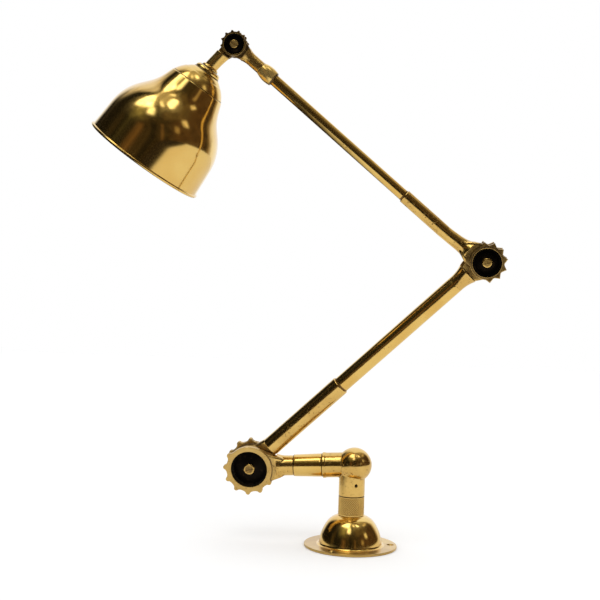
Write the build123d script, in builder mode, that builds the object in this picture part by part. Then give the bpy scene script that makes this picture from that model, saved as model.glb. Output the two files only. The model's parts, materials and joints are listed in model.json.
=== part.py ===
"""Articulating wall lamp in polished brass: domed flange, swivelling column and stem,
two arms on toothed disc hinges, and a bell shade with a bayonet lampholder.

Millimetres, +Z up. The origin is the centre of the flange's underside. The arms start in the
plane of the stem, which leans towards the viewer at -Y, and every hinge turns about that
plane's normal.
"""
from build123d import *
from math import cos, radians, sin
import os

# ---------------------------------------------------------------- pose in the photograph
stem_height = 92.0          # stem axis above the flange's underside
stem_droop = 3.5            # fall of the stem from the column out to the lower joint, degrees
plane_lean = 9.5            # turn of the arms' plane about the stem, degrees
lower_arm_angle = 40.0      # lower arm above the stem's line, degrees
upper_arm_angle = 135.8     # upper arm, same measure
head_turn = 4.2             # turn of the head about the upper arm, degrees
head_angle = -129.5         # shade axis, same measure as the arms

# ---------------------------------------------------------------- lengths between axes
stem_reach = 117.0          # column axis to lower pivot
lower_arm_length = 353.9    # lower pivot to elbow pivot, along the tube
upper_arm_length = 359.1    # elbow pivot to top pivot, along the tube
shade_reach = 159.2         # top pivot to the shade's rim plane, along the shade axis

# ---------------------------------------------------------------- base
flange_r = 52.5
flange_thickness = 2.5
dome_r = 35.5
dome_foot = 7.0             # height where the dome starts to curve in
dome_waist = 27.2           # radius half way round the dome
dome_waist_height = 26.6
dome_shoulder = 14.1        # radius of the flat top
dome_top = 35.0
base_wall = 3.0
dome_fillet = 3.0
screw_pcd = 91.0
screw_count = 3
screw_hole_r = 2.4
screw_sink_r = 4.2
screw_first_angle = 7.5

spigot_r = 7.5
spigot_bore_r = 4.5
spigot_top = 76.0
spigot_bottom = 14.0
washer_thickness = 1.5
washer_r = 13.0
locknut_r = 12.5
locknut_height = 6.0
collar_r = 14.65
collar_height = 22.0
collar_chamfer = 0.6

# ---------------------------------------------------------------- column and stem
leg_r = 14.75
ball_r = 19.5
ball_offset = 2.5           # ball centre beyond the column axis
socket_r = 14.0
socket_lip_r = 14.5
socket_lip_width = 3.0
socket_reach = 33.5         # column axis to the socket's mouth
sleeve_length = 33.5
sleeve_big_r = 13.2
sleeve_small_r = 12.3
stem_r = 11.4
stem_spigot_r = 6.5
stem_spigot_bore_r = 3.6
stem_spigot_depth = 14.0    # length of the spigot inside the elbow casting's socket
grub_r = 1.6
grub_height = 70.5
grub_azimuth = -66.0        # where the leg's screw shows, about +Z from +X
groove_depth = 1.2

# ---------------------------------------------------------------- arms
lower_sleeve_r = 10.8
lower_sleeve_start = 32.6   # clears the stem's flare where the arm is folded down
lower_sleeve_end = 142.5    # step from the thick sleeve to the tube, from the lower pivot
lower_tube_r = 9.25
upper_sleeve_r = 7.45
upper_neck_end = 58.0       # the cast neck runs straight from here
upper_sleeve_end = 114.0
upper_tube_r = 6.2
tube_wall = 1.4
tube_seat = 20.0            # length of tube held inside a casting
lower_offset = 1.6          # lower pivot to the lower arm's tube axis
elbow_back_offset = 4.0     # elbow pivot to the lower arm's tube axis
elbow_offset = 6.0          # elbow pivot to the upper arm's tube axis
head_offset = 7.2           # top pivot to the shade axis
elbow_neck = 46.0           # elbow pivot to the seam between flare and lower tube
ferrule_foot_r = 7.7        # flat end towards the elbow
ferrule_r = 8.9
ferrule_end_r = 6.9
ferrule_reach = 56.6        # top pivot back to the ferrule's flat end
ferrule_length = 18.5
top_stem_r = 6.7
top_spigot_r = 4.4
top_spigot_length = 18.0
head_stem_r = 7.3

# ---------------------------------------------------------------- toothed joints
tooth_count = 7             # the side where the other arm passes is plain
tooth_span = 180.0          # first tooth to last, degrees
lower_front_tooth = 143.9   # angle of the first tooth from the casting's own stem, degrees
lower_rear_tooth = 51.3
elbow_rear_tooth = 57.7
elbow_front_tooth = 140.7
top_front_tooth = 48.7
top_rear_tooth = 133.7
friction_thickness = 1.5
web_slot_angle = 110.0
wire_bore_r = 2.4
wire_bore_lift = 0.5        # wire bore's wall above the cup's floor

# lower joint
lower_tip_r = 30.0
lower_root_r = 26.2         # gullets between the teeth
lower_barrel_r = 23.6
lower_cup_r = 20.8
lower_half = 14.0           # depth of one half, from the joint's middle plane
lower_web = 4.5
lower_set_back = 0.0        # toothed flange below the cup's rim
lower_tooth_width = 6.0
lower_tooth_foot = 5.0      # half width of a tooth at the gullets
lower_tooth_nose = 2.6      # radius at a tooth's tip
lower_bolt_r = 4.0
lower_head_r = 6.2
lower_head_height = 3.6
# elbow joint
elbow_tip_r = 22.4
elbow_root_r = 18.8
elbow_barrel_r = 17.5
elbow_cup_r = 15.6
elbow_half = 13.0
elbow_web = 4.0
elbow_set_back = 4.0
elbow_tooth_width = 5.0
elbow_tooth_foot = 3.9
elbow_tooth_nose = 0.6
elbow_bolt_r = 3.2
elbow_head_r = 5.3
elbow_head_height = 3.2
# top joint
top_tip_r = 14.8
top_root_r = 12.9
top_barrel_r = 12.4
top_cup_r = 11.1
top_half = 8.5
top_web = 3.0
top_set_back = 0.0
top_tooth_width = 4.0
top_tooth_foot = 2.2
top_tooth_nose = 1.1
top_bolt_r = 2.5
top_head_r = 4.6
top_head_height = 2.6

cup_rim_wall = 0.7          # thin rim of a cup that stands proud of its teeth
dish_thickness = 1.0
slot_width = 1.6
slot_depth = 1.2
nut_height_share = 1.6      # nut height over bolt radius

# ---------------------------------------------------------------- head
gallery_top = 33.8          # top pivot to the gallery cap's crown, along the shade axis
gallery_foot = 59.0         # top pivot to the seam between cap and shade
crown_r = 7.8               # the cap's corners from here on: radius, and depth below the crown
crown_edge = 2.2
crown_edge_r = 9.0
step_start = 3.8
step_start_r = 12.4
step_middle = 5.4
step_middle_r = 13.7
step_end = 8.0
step_end_r = 14.7
cap_dome = 8.8
cap_dome_r = 15.9
cap_dome_middle = 16.2
cap_dome_middle_r = 24.8
cap_inset = 0.8             # cap's foot inside the shade's edge
gallery_wall = 1.3
shade_wall = 0.9
shade_neck_r = 31.8
shade_mouth_r = 67.4
shade_bend = 70.0           # along the shade axis: the neck's cone turns out into the bell
shade_bend_r = 35.8
shade_cone = 86.0           # start of the steepest part
shade_cone_r = 45.4
shade_cone_end = 92.0
shade_cone_end_r = 50.6
shade_skirt = 126.0         # start of the nearly straight skirt
shade_skirt_r = 65.0
bead_r = 1.7
fitter_r = 13.8             # hole in the shade's top for the lampholder
holder_r = 13.6
socket_bore_r = 11.2
holder_top = 52.5
holder_mouth = 90.5
holder_flange_r = 17.0
holder_flange_thickness = 1.5
block_r = 10.4              # contact block, behind the socket's bore
block_end = 68.5
bore_start = 73.0           # the socket's bore runs from here to the mouth
plunger_r = 2.0
plunger_spread = 4.75
plunger_proud = 4.0
plunger_travel = 2.5
bayonet_width = 2.6
bayonet_depth = 8.0
ring_r = 17.5
ring_height = 6.0
head_spigot_r = 5.0
head_bore_r = 3.2
gallery_nut_r = 8.0
gallery_nut_height = 4.5

# ---------------------------------------------------------------- clearances
running = 0.05              # shaft in bore, and flat faces that rub
gap = 0.3                   # between curved faces that pass each other

os.makedirs("parts", exist_ok=True)


# ---------------------------------------------------------------- frames
def shifted(frame, x=0.0, y=0.0, z=0.0, turn=0.0):
    """The frame moved along its own axes, then turned about its own Z."""
    return frame.moved(Location((x, y, z), (0, 0, turn)))


def across(frame, x, y=0.0, z=0.0):
    """The plane square to the frame's X axis, looking along it, with local Y as the frame's Z."""
    return Plane(origin=shifted(frame, x, y, z).origin, x_dir=frame.y_dir, z_dir=frame.x_dir)


def x_axis(frame):
    return Axis(frame.origin, frame.x_dir)


droop = radians(stem_droop)
stem_frame = Plane(origin=(0, 0, stem_height), x_dir=(cos(droop), 0, sin(droop)), z_dir=(0, -1, 0))
arm_plane = Plane(stem_frame.location * Location((-stem_reach, 0, 0), (plane_lean, 0, 0)))
lower_arm = shifted(arm_plane, turn=lower_arm_angle)
lower_axis = shifted(lower_arm, y=lower_offset)
elbow_shift = lower_offset - elbow_back_offset
elbow_pivot = shifted(lower_arm, lower_arm_length, elbow_shift, turn=-lower_arm_angle)
elbow_back = shifted(lower_arm, lower_arm_length, elbow_shift, turn=180)
elbow_back_axis = shifted(elbow_back, y=-elbow_back_offset)
upper_arm = shifted(elbow_pivot, turn=upper_arm_angle)
upper_axis = shifted(upper_arm, y=elbow_offset)
top_pivot = Plane(upper_axis.location * Location((upper_arm_length, 0, 0), (head_turn, 0, 0)))
top_back = shifted(top_pivot, turn=180)
head_arm = shifted(top_pivot, turn=head_angle - upper_arm_angle)
head_axis = shifted(head_arm, y=-head_offset)


# ---------------------------------------------------------------- shapes used more than once
def bar(frame, outline, flare=None):
    """A turned bar about the frame's X axis: outline is (x, radius) corners above the axis.

    flare is a wider first corner, joined to the outline by an arc that runs into it smoothly."""
    first = flare or outline[0]
    with BuildSketch(frame) as half_section:
        with BuildLine():
            if flare:
                TangentArc(outline[0], flare, tangent=(-1, 0))
            Polyline(*outline, (outline[-1][0], 0), (first[0], 0), first)
        make_face()
    revolve(half_section.sketch, axis=x_axis(frame))


def bent_neck(frame, sections):
    """A round neck whose middle wanders: lofted through (x, y middle, radius)."""
    profiles = []
    for x, middle, radius in sections:
        with BuildSketch(across(frame, x, middle)) as profile:
            Circle(radius)
        profiles.append(profile.sketch.face())
    loft(profiles)


def drill(frame, start, end, radius):
    """A round hole along the frame's X axis."""
    with BuildSketch(across(frame, start)) as hole:
        Circle(radius)
    extrude(hole.sketch, amount=end - start, mode=Mode.SUBTRACT)


def wire_passage(frame, start, end, radius):
    """A slanting hole from a cup into the neck's bore; start and end are points in the frame."""
    mouth = frame.from_local_coords(Vector(*start))
    run = frame.from_local_coords(Vector(*end)) - mouth
    with BuildSketch(Plane(origin=mouth, z_dir=run)) as hole:
        Circle(radius)
    extrude(hole.sketch, amount=run.length, mode=Mode.SUBTRACT)


def star(plane, tip_r, root_r, foot, nose, thickness, first_tooth):
    """A toothed disc: a round body with wedge teeth over half its rim, each with a round nose."""
    with BuildSketch(plane) as outline:
        Circle(root_r)
        with PolarLocations(0, tooth_count, start_angle=first_tooth, angular_range=tooth_span,
                            endpoint=True):
            Polygon((root_r * 0.9, -foot), (root_r * 0.985, -foot), (tip_r - nose, -nose),
                    (tip_r - nose, nose), (root_r * 0.985, foot), (root_r * 0.9, foot),
                    align=None)
            with Locations((tip_r - nose, 0)):
                Circle(nose)
    extrude(outline.sketch, amount=thickness)


def knuckle_disc(frame, side, tip_r, root_r, barrel_r, cup_r, half, set_back, width, foot, nose,
                 first_tooth):
    """One half of a toothed joint: barrel, toothed flange and the rim of the outer cup.

    side is 1 for the half that faces the viewer and -1 for the one behind."""
    face = friction_thickness / 2
    with BuildSketch(shifted(frame, z=side * face)) as barrel:
        Circle(barrel_r)
    extrude(barrel.sketch, amount=side * (half - set_back - face))
    toothed = shifted(frame, z=side * (half - set_back))
    star(toothed, tip_r, root_r, foot, nose, -side * width, first_tooth)
    if set_back > 0:
        with BuildSketch(toothed) as rim_disc:
            Circle(cup_r + cup_rim_wall)
        extrude(rim_disc.sketch, amount=side * set_back)


def hollow_cup(frame, side, cup_r, half, web, bolt_r):
    """Cut the outer cup, the pivot bore and the curved slot that lets the wires through."""
    face = friction_thickness / 2
    floor = face + web
    with BuildSketch(shifted(frame, z=side * floor)) as cup:
        Circle(cup_r)
    extrude(cup.sketch, amount=side * (half - floor + 1), mode=Mode.SUBTRACT)
    slot_r = (cup_r + bolt_r) / 2
    with BuildSketch(shifted(frame, z=side * (face - 1), turn=180)) as web_holes:
        Circle(bolt_r + running)
        with BuildLine(mode=Mode.PRIVATE) as slot_path:
            CenterArc((0, 0), slot_r, -web_slot_angle / 2, web_slot_angle)
        SlotArc(slot_path.wire(), wire_bore_r * 2)
    extrude(web_holes.sketch, amount=side * (web + 2), mode=Mode.SUBTRACT)


def tongue(frame, side, sections):
    """A cast neck in one half of a joint, lofted through (x, y middle, half width, depth)."""
    face = friction_thickness / 2
    profiles = []
    for x, middle, half_width, depth in sections:
        with BuildSketch(across(frame, x, middle, side * (face + depth / 2))) as profile:
            RectangleRounded(half_width * 2, depth, depth * 0.3)
        profiles.append(profile.sketch.face())
    loft(profiles)


def bolt(name, frame, bolt_r, head_r, head_height, head_seat, tail):
    """A round-headed slotted pivot bolt along the joint's axis; the head faces the viewer."""
    with BuildPart() as made:
        with BuildSketch(shifted(frame, z=-tail)):
            Circle(bolt_r)
        extrude(amount=head_seat + tail)
        with BuildSketch(shifted(frame, z=head_seat)):
            Circle(head_r)
        extrude(amount=head_height)
        top_edge = made.edges().filter_by(GeomType.CIRCLE).sort_by(Axis(frame.origin, frame.z_dir))[-1]
        chamfer(top_edge, head_height * 0.3)
        with BuildSketch(shifted(frame, z=head_seat + head_height)):
            Rectangle(head_r * 2, slot_width)
        extrude(amount=-slot_depth, mode=Mode.SUBTRACT)
    finish(made, name)


def dish(name, frame, side, cup_r, floor, bolt_r, rise):
    """A dished spring washer: flat rim at the cup's floor, cone, flat seat round the bolt."""
    rim = cup_r - 1.0
    seat = bolt_r + 3.0
    hole = bolt_r + running
    with BuildPart() as made:
        with BuildSketch(Plane(origin=frame.origin, x_dir=frame.x_dir, z_dir=-frame.y_dir)):
            with BuildLine():
                Polyline((rim, side * floor), (rim, side * (floor + dish_thickness)),
                         (rim - 1.5, side * (floor + dish_thickness)),
                         (seat, side * (floor + rise)), (hole, side * (floor + rise)),
                         (hole, side * (floor + rise - dish_thickness)),
                         (seat, side * (floor + rise - dish_thickness)),
                         (rim - 1.5, side * floor), close=True)
            make_face()
        revolve(axis=Axis(frame.origin, frame.z_dir))
    finish(made, name)


def friction_ring(name, frame, barrel_r):
    """A flat ring that sits on the front half's face and rubs on the rear half's."""
    with BuildPart() as made:
        with BuildSketch(shifted(frame, z=friction_thickness / 2)):
            Circle(barrel_r - 1.5)
            Circle(barrel_r - 6.0, mode=Mode.SUBTRACT)
        extrude(amount=-(friction_thickness - running))
    finish(made, name)


def nut(name, plane, radius, bore_r, height):
    """A hexagon nut."""
    with BuildPart() as made:
        with BuildSketch(plane):
            RegularPolygon(radius, 6)
            Circle(bore_r, mode=Mode.SUBTRACT)
        extrude(amount=height)
    finish(made, name)


def finish(made, name):
    made.part.label = name
    export_step(made.part, f"parts/{name}.step")


# ---------------------------------------------------------------- base
with BuildPart() as base_flange:
    with BuildSketch(Plane.XZ):
        with BuildLine():
            Line((spigot_r + running, 0), (flange_r, 0))
            Line((flange_r, 0), (flange_r, flange_thickness))
            Line((flange_r, flange_thickness), (dome_r + dome_fillet, flange_thickness))
            RadiusArc((dome_r + dome_fillet, flange_thickness),
                      (dome_r, flange_thickness + dome_fillet), dome_fillet)
            Line((dome_r, flange_thickness + dome_fillet), (dome_r, dome_foot))
            foot_arc = TangentArc((dome_r, dome_foot), (dome_waist, dome_waist_height), tangent=(0, 1))
            TangentArc(foot_arc @ 1, (dome_shoulder, dome_top), tangent=foot_arc % 1)
            Line((dome_shoulder, dome_top), (spigot_r + running, dome_top))
            Line((spigot_r + running, dome_top), (spigot_r + running, 0))
        make_face()
    revolve(axis=Axis.Z)
    # the hollow under the dome
    with BuildSketch(Plane.XZ):
        with BuildLine():
            hollow_r = dome_r - base_wall
            Line((0, 0), (hollow_r, 0))
            Line((hollow_r, 0), (hollow_r, dome_foot))
            hollow_arc = TangentArc((hollow_r, dome_foot), (dome_waist - 2.6, dome_waist_height - 2.2),
                                    tangent=(0, 1))
            TangentArc(hollow_arc @ 1, (washer_r + 2, dome_top - base_wall - 1.5),
                       tangent=hollow_arc % 1)
            Line((washer_r + 2, dome_top - base_wall - 1.5), (0, dome_top - base_wall - 1.5))
            Line((0, dome_top - base_wall - 1.5), (0, 0))
        make_face()
    revolve(axis=Axis.Z, mode=Mode.SUBTRACT)
    with PolarLocations(screw_pcd / 2, screw_count, start_angle=screw_first_angle):
        with Locations((0, 0, flange_thickness)):
            CounterSinkHole(screw_hole_r, screw_sink_r, flange_thickness * 2, 90)
finish(base_flange, "base_flange")

dome_ceiling = dome_top - base_wall - 1.5

with BuildPart() as base_spigot:
    with BuildSketch(Plane.XY.offset(spigot_bottom)):
        Circle(spigot_r)
        Circle(spigot_bore_r, mode=Mode.SUBTRACT)
    extrude(amount=spigot_top - spigot_bottom)
    # groove that the leg's screw runs in
    with BuildSketch(Plane.XY.offset(grub_height - grub_r - gap)):
        Circle(spigot_r)
        Circle(spigot_r - groove_depth, mode=Mode.SUBTRACT)
    extrude(amount=2 * (grub_r + gap), mode=Mode.SUBTRACT)
finish(base_spigot, "base_spigot")

with BuildPart() as base_washer:
    with BuildSketch(Plane.XY.offset(dome_ceiling - washer_thickness)):
        Circle(washer_r)
        Circle(spigot_r + running, mode=Mode.SUBTRACT)
    extrude(amount=washer_thickness)
finish(base_washer, "base_washer")

nut("base_locknut", Plane.XY.offset(dome_ceiling - washer_thickness - locknut_height),
    locknut_r, spigot_r + running, locknut_height)

with BuildPart() as knurled_collar:
    with BuildSketch(Plane.XY.offset(dome_top)):
        Circle(collar_r)
        Circle(spigot_r + running, mode=Mode.SUBTRACT)
    extrude(amount=collar_height)
    rims = knurled_collar.edges().filter_by(GeomType.CIRCLE).filter_by(lambda e: e.radius > spigot_r + 1)
    chamfer(rims, collar_chamfer)
finish(knurled_collar, "knurled_collar")

# ---------------------------------------------------------------- column elbow
leg_foot = dome_top + collar_height + gap
with BuildPart() as elbow_casting:
    with BuildSketch(Plane.XY.offset(leg_foot)):
        Circle(leg_r)
    extrude(amount=stem_height - leg_foot)
    with Locations((ball_offset, 0, stem_height)):
        Sphere(ball_r)
    with BuildSketch(across(stem_frame, 0)):
        Circle(socket_r)
    extrude(amount=-socket_reach)
    with BuildSketch(across(stem_frame, -socket_reach)):
        Circle(socket_lip_r)
    extrude(amount=socket_lip_width)
    # the spigot's hole, and a cored passage round the corner for the wires
    with BuildSketch(Plane.XY.offset(leg_foot)):
        Circle(spigot_r + running)
    extrude(amount=spigot_top + 1 - leg_foot, mode=Mode.SUBTRACT)
    with BuildSketch(Plane.XY.offset(spigot_top)):
        Circle(spigot_bore_r)
    extrude(amount=stem_height - spigot_top + spigot_bore_r, mode=Mode.SUBTRACT)
    with BuildSketch(across(stem_frame, -socket_reach)):
        Circle(stem_spigot_r + running)
    extrude(amount=stem_spigot_depth + 1, mode=Mode.SUBTRACT)
    with BuildSketch(across(stem_frame, -socket_reach)):
        Circle(stem_spigot_bore_r)
    extrude(amount=socket_reach + stem_spigot_bore_r, mode=Mode.SUBTRACT)
    # tapped holes of the two retaining screws
    grub_plane = Plane(origin=(0, 0, grub_height), x_dir=(0, 0, 1),
                       z_dir=(cos(radians(grub_azimuth)), sin(radians(grub_azimuth)), 0))
    with BuildSketch(grub_plane):
        Circle(grub_r)
    extrude(amount=leg_r + 1, mode=Mode.SUBTRACT)
    socket_grub_x = -(socket_reach - stem_spigot_depth / 2)
    socket_grub_plane = Plane(origin=shifted(stem_frame, socket_grub_x).origin,
                              x_dir=stem_frame.x_dir, z_dir=-stem_frame.y_dir)
    with BuildSketch(socket_grub_plane):
        Circle(grub_r)
    extrude(amount=socket_r + 1, mode=Mode.SUBTRACT)
finish(elbow_casting, "elbow_casting")

for screw_name, screw_plane, outer_r, inner_r in (
        ("leg_retaining_screw", grub_plane, leg_r, spigot_r),
        ("socket_retaining_screw", socket_grub_plane, socket_r, stem_spigot_r)):
    with BuildPart() as retaining_screw:
        with BuildSketch(screw_plane.offset(outer_r - 0.8)):
            Circle(grub_r)
        extrude(amount=-(outer_r - 0.8 - inner_r + groove_depth - gap))
        with BuildSketch(screw_plane.offset(outer_r - 0.8)):
            Rectangle(grub_r * 2, grub_r * 0.4)
        extrude(amount=-grub_r * 0.5, mode=Mode.SUBTRACT)
    finish(retaining_screw, screw_name)

# ---------------------------------------------------------------- stem
sleeve_end = socket_reach + sleeve_length
with BuildPart() as stem_spigot:
    with BuildSketch(across(stem_frame, -(socket_reach - stem_spigot_depth))):
        Circle(stem_spigot_r)
        Circle(stem_spigot_bore_r, mode=Mode.SUBTRACT)
    extrude(amount=-(stem_spigot_depth + sleeve_length + tube_seat / 2))
    with BuildSketch(across(stem_frame, socket_grub_x - grub_r - gap)):
        Circle(stem_spigot_r)
        Circle(stem_spigot_r - groove_depth, mode=Mode.SUBTRACT)
    extrude(amount=2 * (grub_r + gap), mode=Mode.SUBTRACT)
finish(stem_spigot, "stem_spigot")

with BuildPart() as taper_sleeve:
    bar(stem_frame, [(-sleeve_end, sleeve_small_r), (-socket_reach, sleeve_big_r)])
    drill(stem_frame, -sleeve_end, -socket_reach, stem_spigot_r + running)
finish(taper_sleeve, "taper_sleeve")

neck_start = lower_tip_r + 1
lower_wire_z = friction_thickness / 2 + lower_web + wire_bore_lift + wire_bore_r
stem_end = stem_reach - sleeve_end
with BuildPart() as stem_knuckle:
    bar(arm_plane, [(neck_start + 11, stem_r), (stem_end, stem_r)], flare=(neck_start, stem_r + 2.0))
    tongue(arm_plane, 1, [(lower_cup_r * 0.35, 0, lower_root_r * 0.78, lower_half * 0.75),
                          (lower_root_r - 6, 0, lower_root_r * 0.67, lower_half * 0.74),
                          (lower_root_r, 0, stem_r + 3.6, lower_half * 0.72),
                          (neck_start, 0, stem_r + 2.0, lower_half * 0.68),
                          (neck_start + 9, 0, stem_r * 0.8, lower_half * 0.5)])
    knuckle_disc(arm_plane, 1, lower_tip_r, lower_root_r, lower_barrel_r, lower_cup_r, lower_half,
                 lower_set_back, lower_tooth_width, lower_tooth_foot, lower_tooth_nose,
                 lower_front_tooth)
    hollow_cup(arm_plane, 1, lower_cup_r, lower_half, lower_web, lower_bolt_r)
    drill(arm_plane, stem_end - tube_seat / 2, stem_end, stem_spigot_r + running)
    drill(arm_plane, neck_start + 8, stem_end, stem_spigot_bore_r)
    wire_passage(arm_plane, (lower_cup_r - 4, 0, lower_wire_z), (neck_start + 11, 0, 0), wire_bore_r)
finish(stem_knuckle, "stem_knuckle")

# ---------------------------------------------------------------- lower arm
with BuildPart() as lower_arm_knuckle:
    bar(lower_axis, [(lower_sleeve_start, lower_sleeve_r - 0.6), (lower_sleeve_start + 0.6, lower_sleeve_r),
                     (lower_sleeve_end - 0.6, lower_sleeve_r), (lower_sleeve_end, lower_sleeve_r - 0.6)])
    tongue(lower_arm, -1, [(lower_cup_r * 0.35, 0, lower_root_r * 0.78, lower_half * 0.75),
                           (lower_root_r - 4, lower_offset, lower_sleeve_r + 1.4, lower_half * 0.74),
                           (neck_start - 1, lower_offset, lower_sleeve_r, lower_half * 0.7),
                           (neck_start + 9, lower_offset, lower_sleeve_r * 0.8, lower_half * 0.5)])
    knuckle_disc(lower_arm, -1, lower_tip_r, lower_root_r, lower_barrel_r, lower_cup_r, lower_half,
                 lower_set_back, lower_tooth_width, lower_tooth_foot, lower_tooth_nose,
                 lower_rear_tooth)
    hollow_cup(lower_arm, -1, lower_cup_r, lower_half, lower_web, lower_bolt_r)
    drill(lower_axis, lower_sleeve_end - tube_seat, lower_sleeve_end, lower_tube_r)
    drill(lower_axis, neck_start + 6, lower_sleeve_end, lower_tube_r - tube_wall - 1)
    wire_passage(lower_arm, (lower_cup_r - 4, lower_offset, -lower_wire_z),
                 (neck_start + 11, lower_offset, 0), wire_bore_r)
finish(lower_arm_knuckle, "lower_arm_knuckle")

lower_tube_start = lower_sleeve_end - tube_seat
lower_tube_end = lower_arm_length - elbow_neck
with BuildPart() as lower_arm_tube:
    bar(lower_axis, [(lower_tube_start, lower_tube_r), (lower_tube_end, lower_tube_r)])
    drill(lower_axis, lower_tube_start, lower_tube_end, lower_tube_r - tube_wall)
finish(lower_arm_tube, "lower_arm_tube")

elbow_start = elbow_tip_r + 1
elbow_wire_z = friction_thickness / 2 + elbow_web + wire_bore_lift + wire_bore_r
with BuildPart() as elbow_rear_knuckle:
    bar(elbow_back_axis, [(elbow_start + 15.5, lower_tube_r), (elbow_neck, lower_tube_r),
                          (elbow_neck, lower_tube_r - tube_wall),
                          (elbow_neck + tube_seat, lower_tube_r - tube_wall)],
        flare=(elbow_start, lower_tube_r + 3.1))
    tongue(elbow_back, -1, [(elbow_cup_r * 0.35, 0, elbow_root_r * 0.85, elbow_half * 0.6),
                            (elbow_root_r, -elbow_back_offset * 0.8, elbow_root_r * 0.74, elbow_half * 0.6),
                            (elbow_start, -elbow_back_offset, lower_tube_r + 2.7, elbow_half * 0.58),
                            (elbow_start + 8, -elbow_back_offset, lower_tube_r * 0.8, elbow_half * 0.5)])
    knuckle_disc(elbow_back, -1, elbow_tip_r, elbow_root_r, elbow_barrel_r, elbow_cup_r, elbow_half,
                 elbow_set_back, elbow_tooth_width, elbow_tooth_foot, elbow_tooth_nose,
                 elbow_rear_tooth)
    hollow_cup(elbow_back, -1, elbow_cup_r, elbow_half, elbow_web, elbow_bolt_r)
    drill(elbow_back_axis, elbow_start + 3, elbow_neck + tube_seat, lower_tube_r - tube_wall - 2)
    wire_passage(elbow_back, (elbow_cup_r - 3.5, -elbow_back_offset, -elbow_wire_z),
                 (elbow_start + 9, -elbow_back_offset, 0), wire_bore_r)
finish(elbow_rear_knuckle, "elbow_rear_knuckle")

# ---------------------------------------------------------------- upper arm
with BuildPart() as elbow_front_knuckle:
    bent_neck(upper_axis, [(elbow_start, -3.5, upper_sleeve_r + 4.0),
                           (elbow_start + 3.6, -2.5, upper_sleeve_r + 2.0),
                           (elbow_start + 8, -1.8, upper_sleeve_r + 0.95),
                           (elbow_start + 16, -1.0, upper_sleeve_r + 0.3),
                           (upper_neck_end, 0, upper_sleeve_r)])
    bar(upper_axis, [(upper_neck_end, upper_sleeve_r), (upper_sleeve_end - 0.5, upper_sleeve_r),
                     (upper_sleeve_end, upper_sleeve_r - 0.5)])
    tongue(upper_arm, 1, [(elbow_cup_r * 0.35, 0, elbow_root_r * 0.85, elbow_half * 0.6),
                          (elbow_root_r, elbow_offset * 0.35, elbow_root_r * 0.7, elbow_half * 0.6),
                          (elbow_start, elbow_offset * 0.45, upper_sleeve_r + 3.6, elbow_half * 0.58),
                          (elbow_start + 8, elbow_offset * 0.7, upper_sleeve_r * 0.8, elbow_half * 0.45)])
    knuckle_disc(upper_arm, 1, elbow_tip_r, elbow_root_r, elbow_barrel_r, elbow_cup_r, elbow_half,
                 elbow_set_back, elbow_tooth_width, elbow_tooth_foot, elbow_tooth_nose,
                 elbow_front_tooth)
    hollow_cup(upper_arm, 1, elbow_cup_r, elbow_half, elbow_web, elbow_bolt_r)
    drill(upper_axis, upper_sleeve_end - tube_seat, upper_sleeve_end, upper_tube_r)
    drill(upper_axis, elbow_start + 5, upper_sleeve_end, upper_tube_r - tube_wall - 1)
    wire_passage(upper_arm, (elbow_cup_r - 3.5, elbow_offset * 0.4, elbow_wire_z),
                 (elbow_start + 9, elbow_offset * 0.75, 0), wire_bore_r)
finish(elbow_front_knuckle, "elbow_front_knuckle")

upper_tube_start = upper_sleeve_end - tube_seat
ferrule_start = upper_arm_length - ferrule_reach
upper_tube_end = ferrule_start + ferrule_length * 0.3
with BuildPart() as upper_arm_tube:
    bar(upper_axis, [(upper_tube_start, upper_tube_r), (upper_tube_end, upper_tube_r)])
    drill(upper_axis, upper_tube_start, upper_tube_end, upper_tube_r - tube_wall)
finish(upper_arm_tube, "upper_arm_tube")

ferrule_end = ferrule_start + ferrule_length
with BuildPart() as ferrule:
    with BuildSketch(upper_axis):
        with BuildLine():
            ThreePointArc((ferrule_start, ferrule_foot_r), ((ferrule_start + ferrule_end) / 2, ferrule_r),
                          (ferrule_end, ferrule_end_r))
            Polyline((ferrule_end, ferrule_end_r), (ferrule_end, 0), (ferrule_start, 0),
                     (ferrule_start, ferrule_foot_r))
        make_face()
    revolve(axis=x_axis(upper_axis))
    drill(upper_axis, ferrule_start, upper_tube_end, upper_tube_r)
    drill(upper_axis, upper_tube_end, ferrule_end, top_spigot_r + running)
finish(ferrule, "ferrule")

# ---------------------------------------------------------------- top joint
swivel_plane = Plane(upper_axis.location * Location((upper_arm_length, 0, 0), (head_turn, 0, 180)))
top_start = top_tip_r + 0.8
top_wire_r = 1.6
top_wire_z = friction_thickness / 2 + top_web + wire_bore_lift + top_wire_r
swivel_face = upper_arm_length - ferrule_end
with BuildPart() as top_arm_knuckle:
    bar(swivel_plane, [(top_start + 9, top_stem_r), (swivel_face, top_stem_r),
                       (swivel_face, top_spigot_r), (swivel_face + top_spigot_length, top_spigot_r)],
        flare=(top_start, top_stem_r + 1.7))
    tongue(swivel_plane, 1, [(top_cup_r * 0.35, 0, top_root_r * 0.8, top_half * 0.65),
                             (top_root_r, 0, top_root_r * 0.68, top_half * 0.65),
                             (top_start + 6, 0, top_stem_r * 0.75, top_half * 0.55)])
    knuckle_disc(swivel_plane, 1, top_tip_r, top_root_r, top_barrel_r, top_cup_r, top_half,
                 top_set_back, top_tooth_width, top_tooth_foot, top_tooth_nose, top_front_tooth)
    hollow_cup(swivel_plane, 1, top_cup_r, top_half, top_web, top_bolt_r)
    drill(swivel_plane, top_start + 6, swivel_face + top_spigot_length, top_spigot_r - tube_wall)
    wire_passage(swivel_plane, (top_cup_r - 2.5, 0, top_wire_z), (top_start + 8, 0, 0), top_wire_r)
finish(top_arm_knuckle, "top_arm_knuckle")

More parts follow.
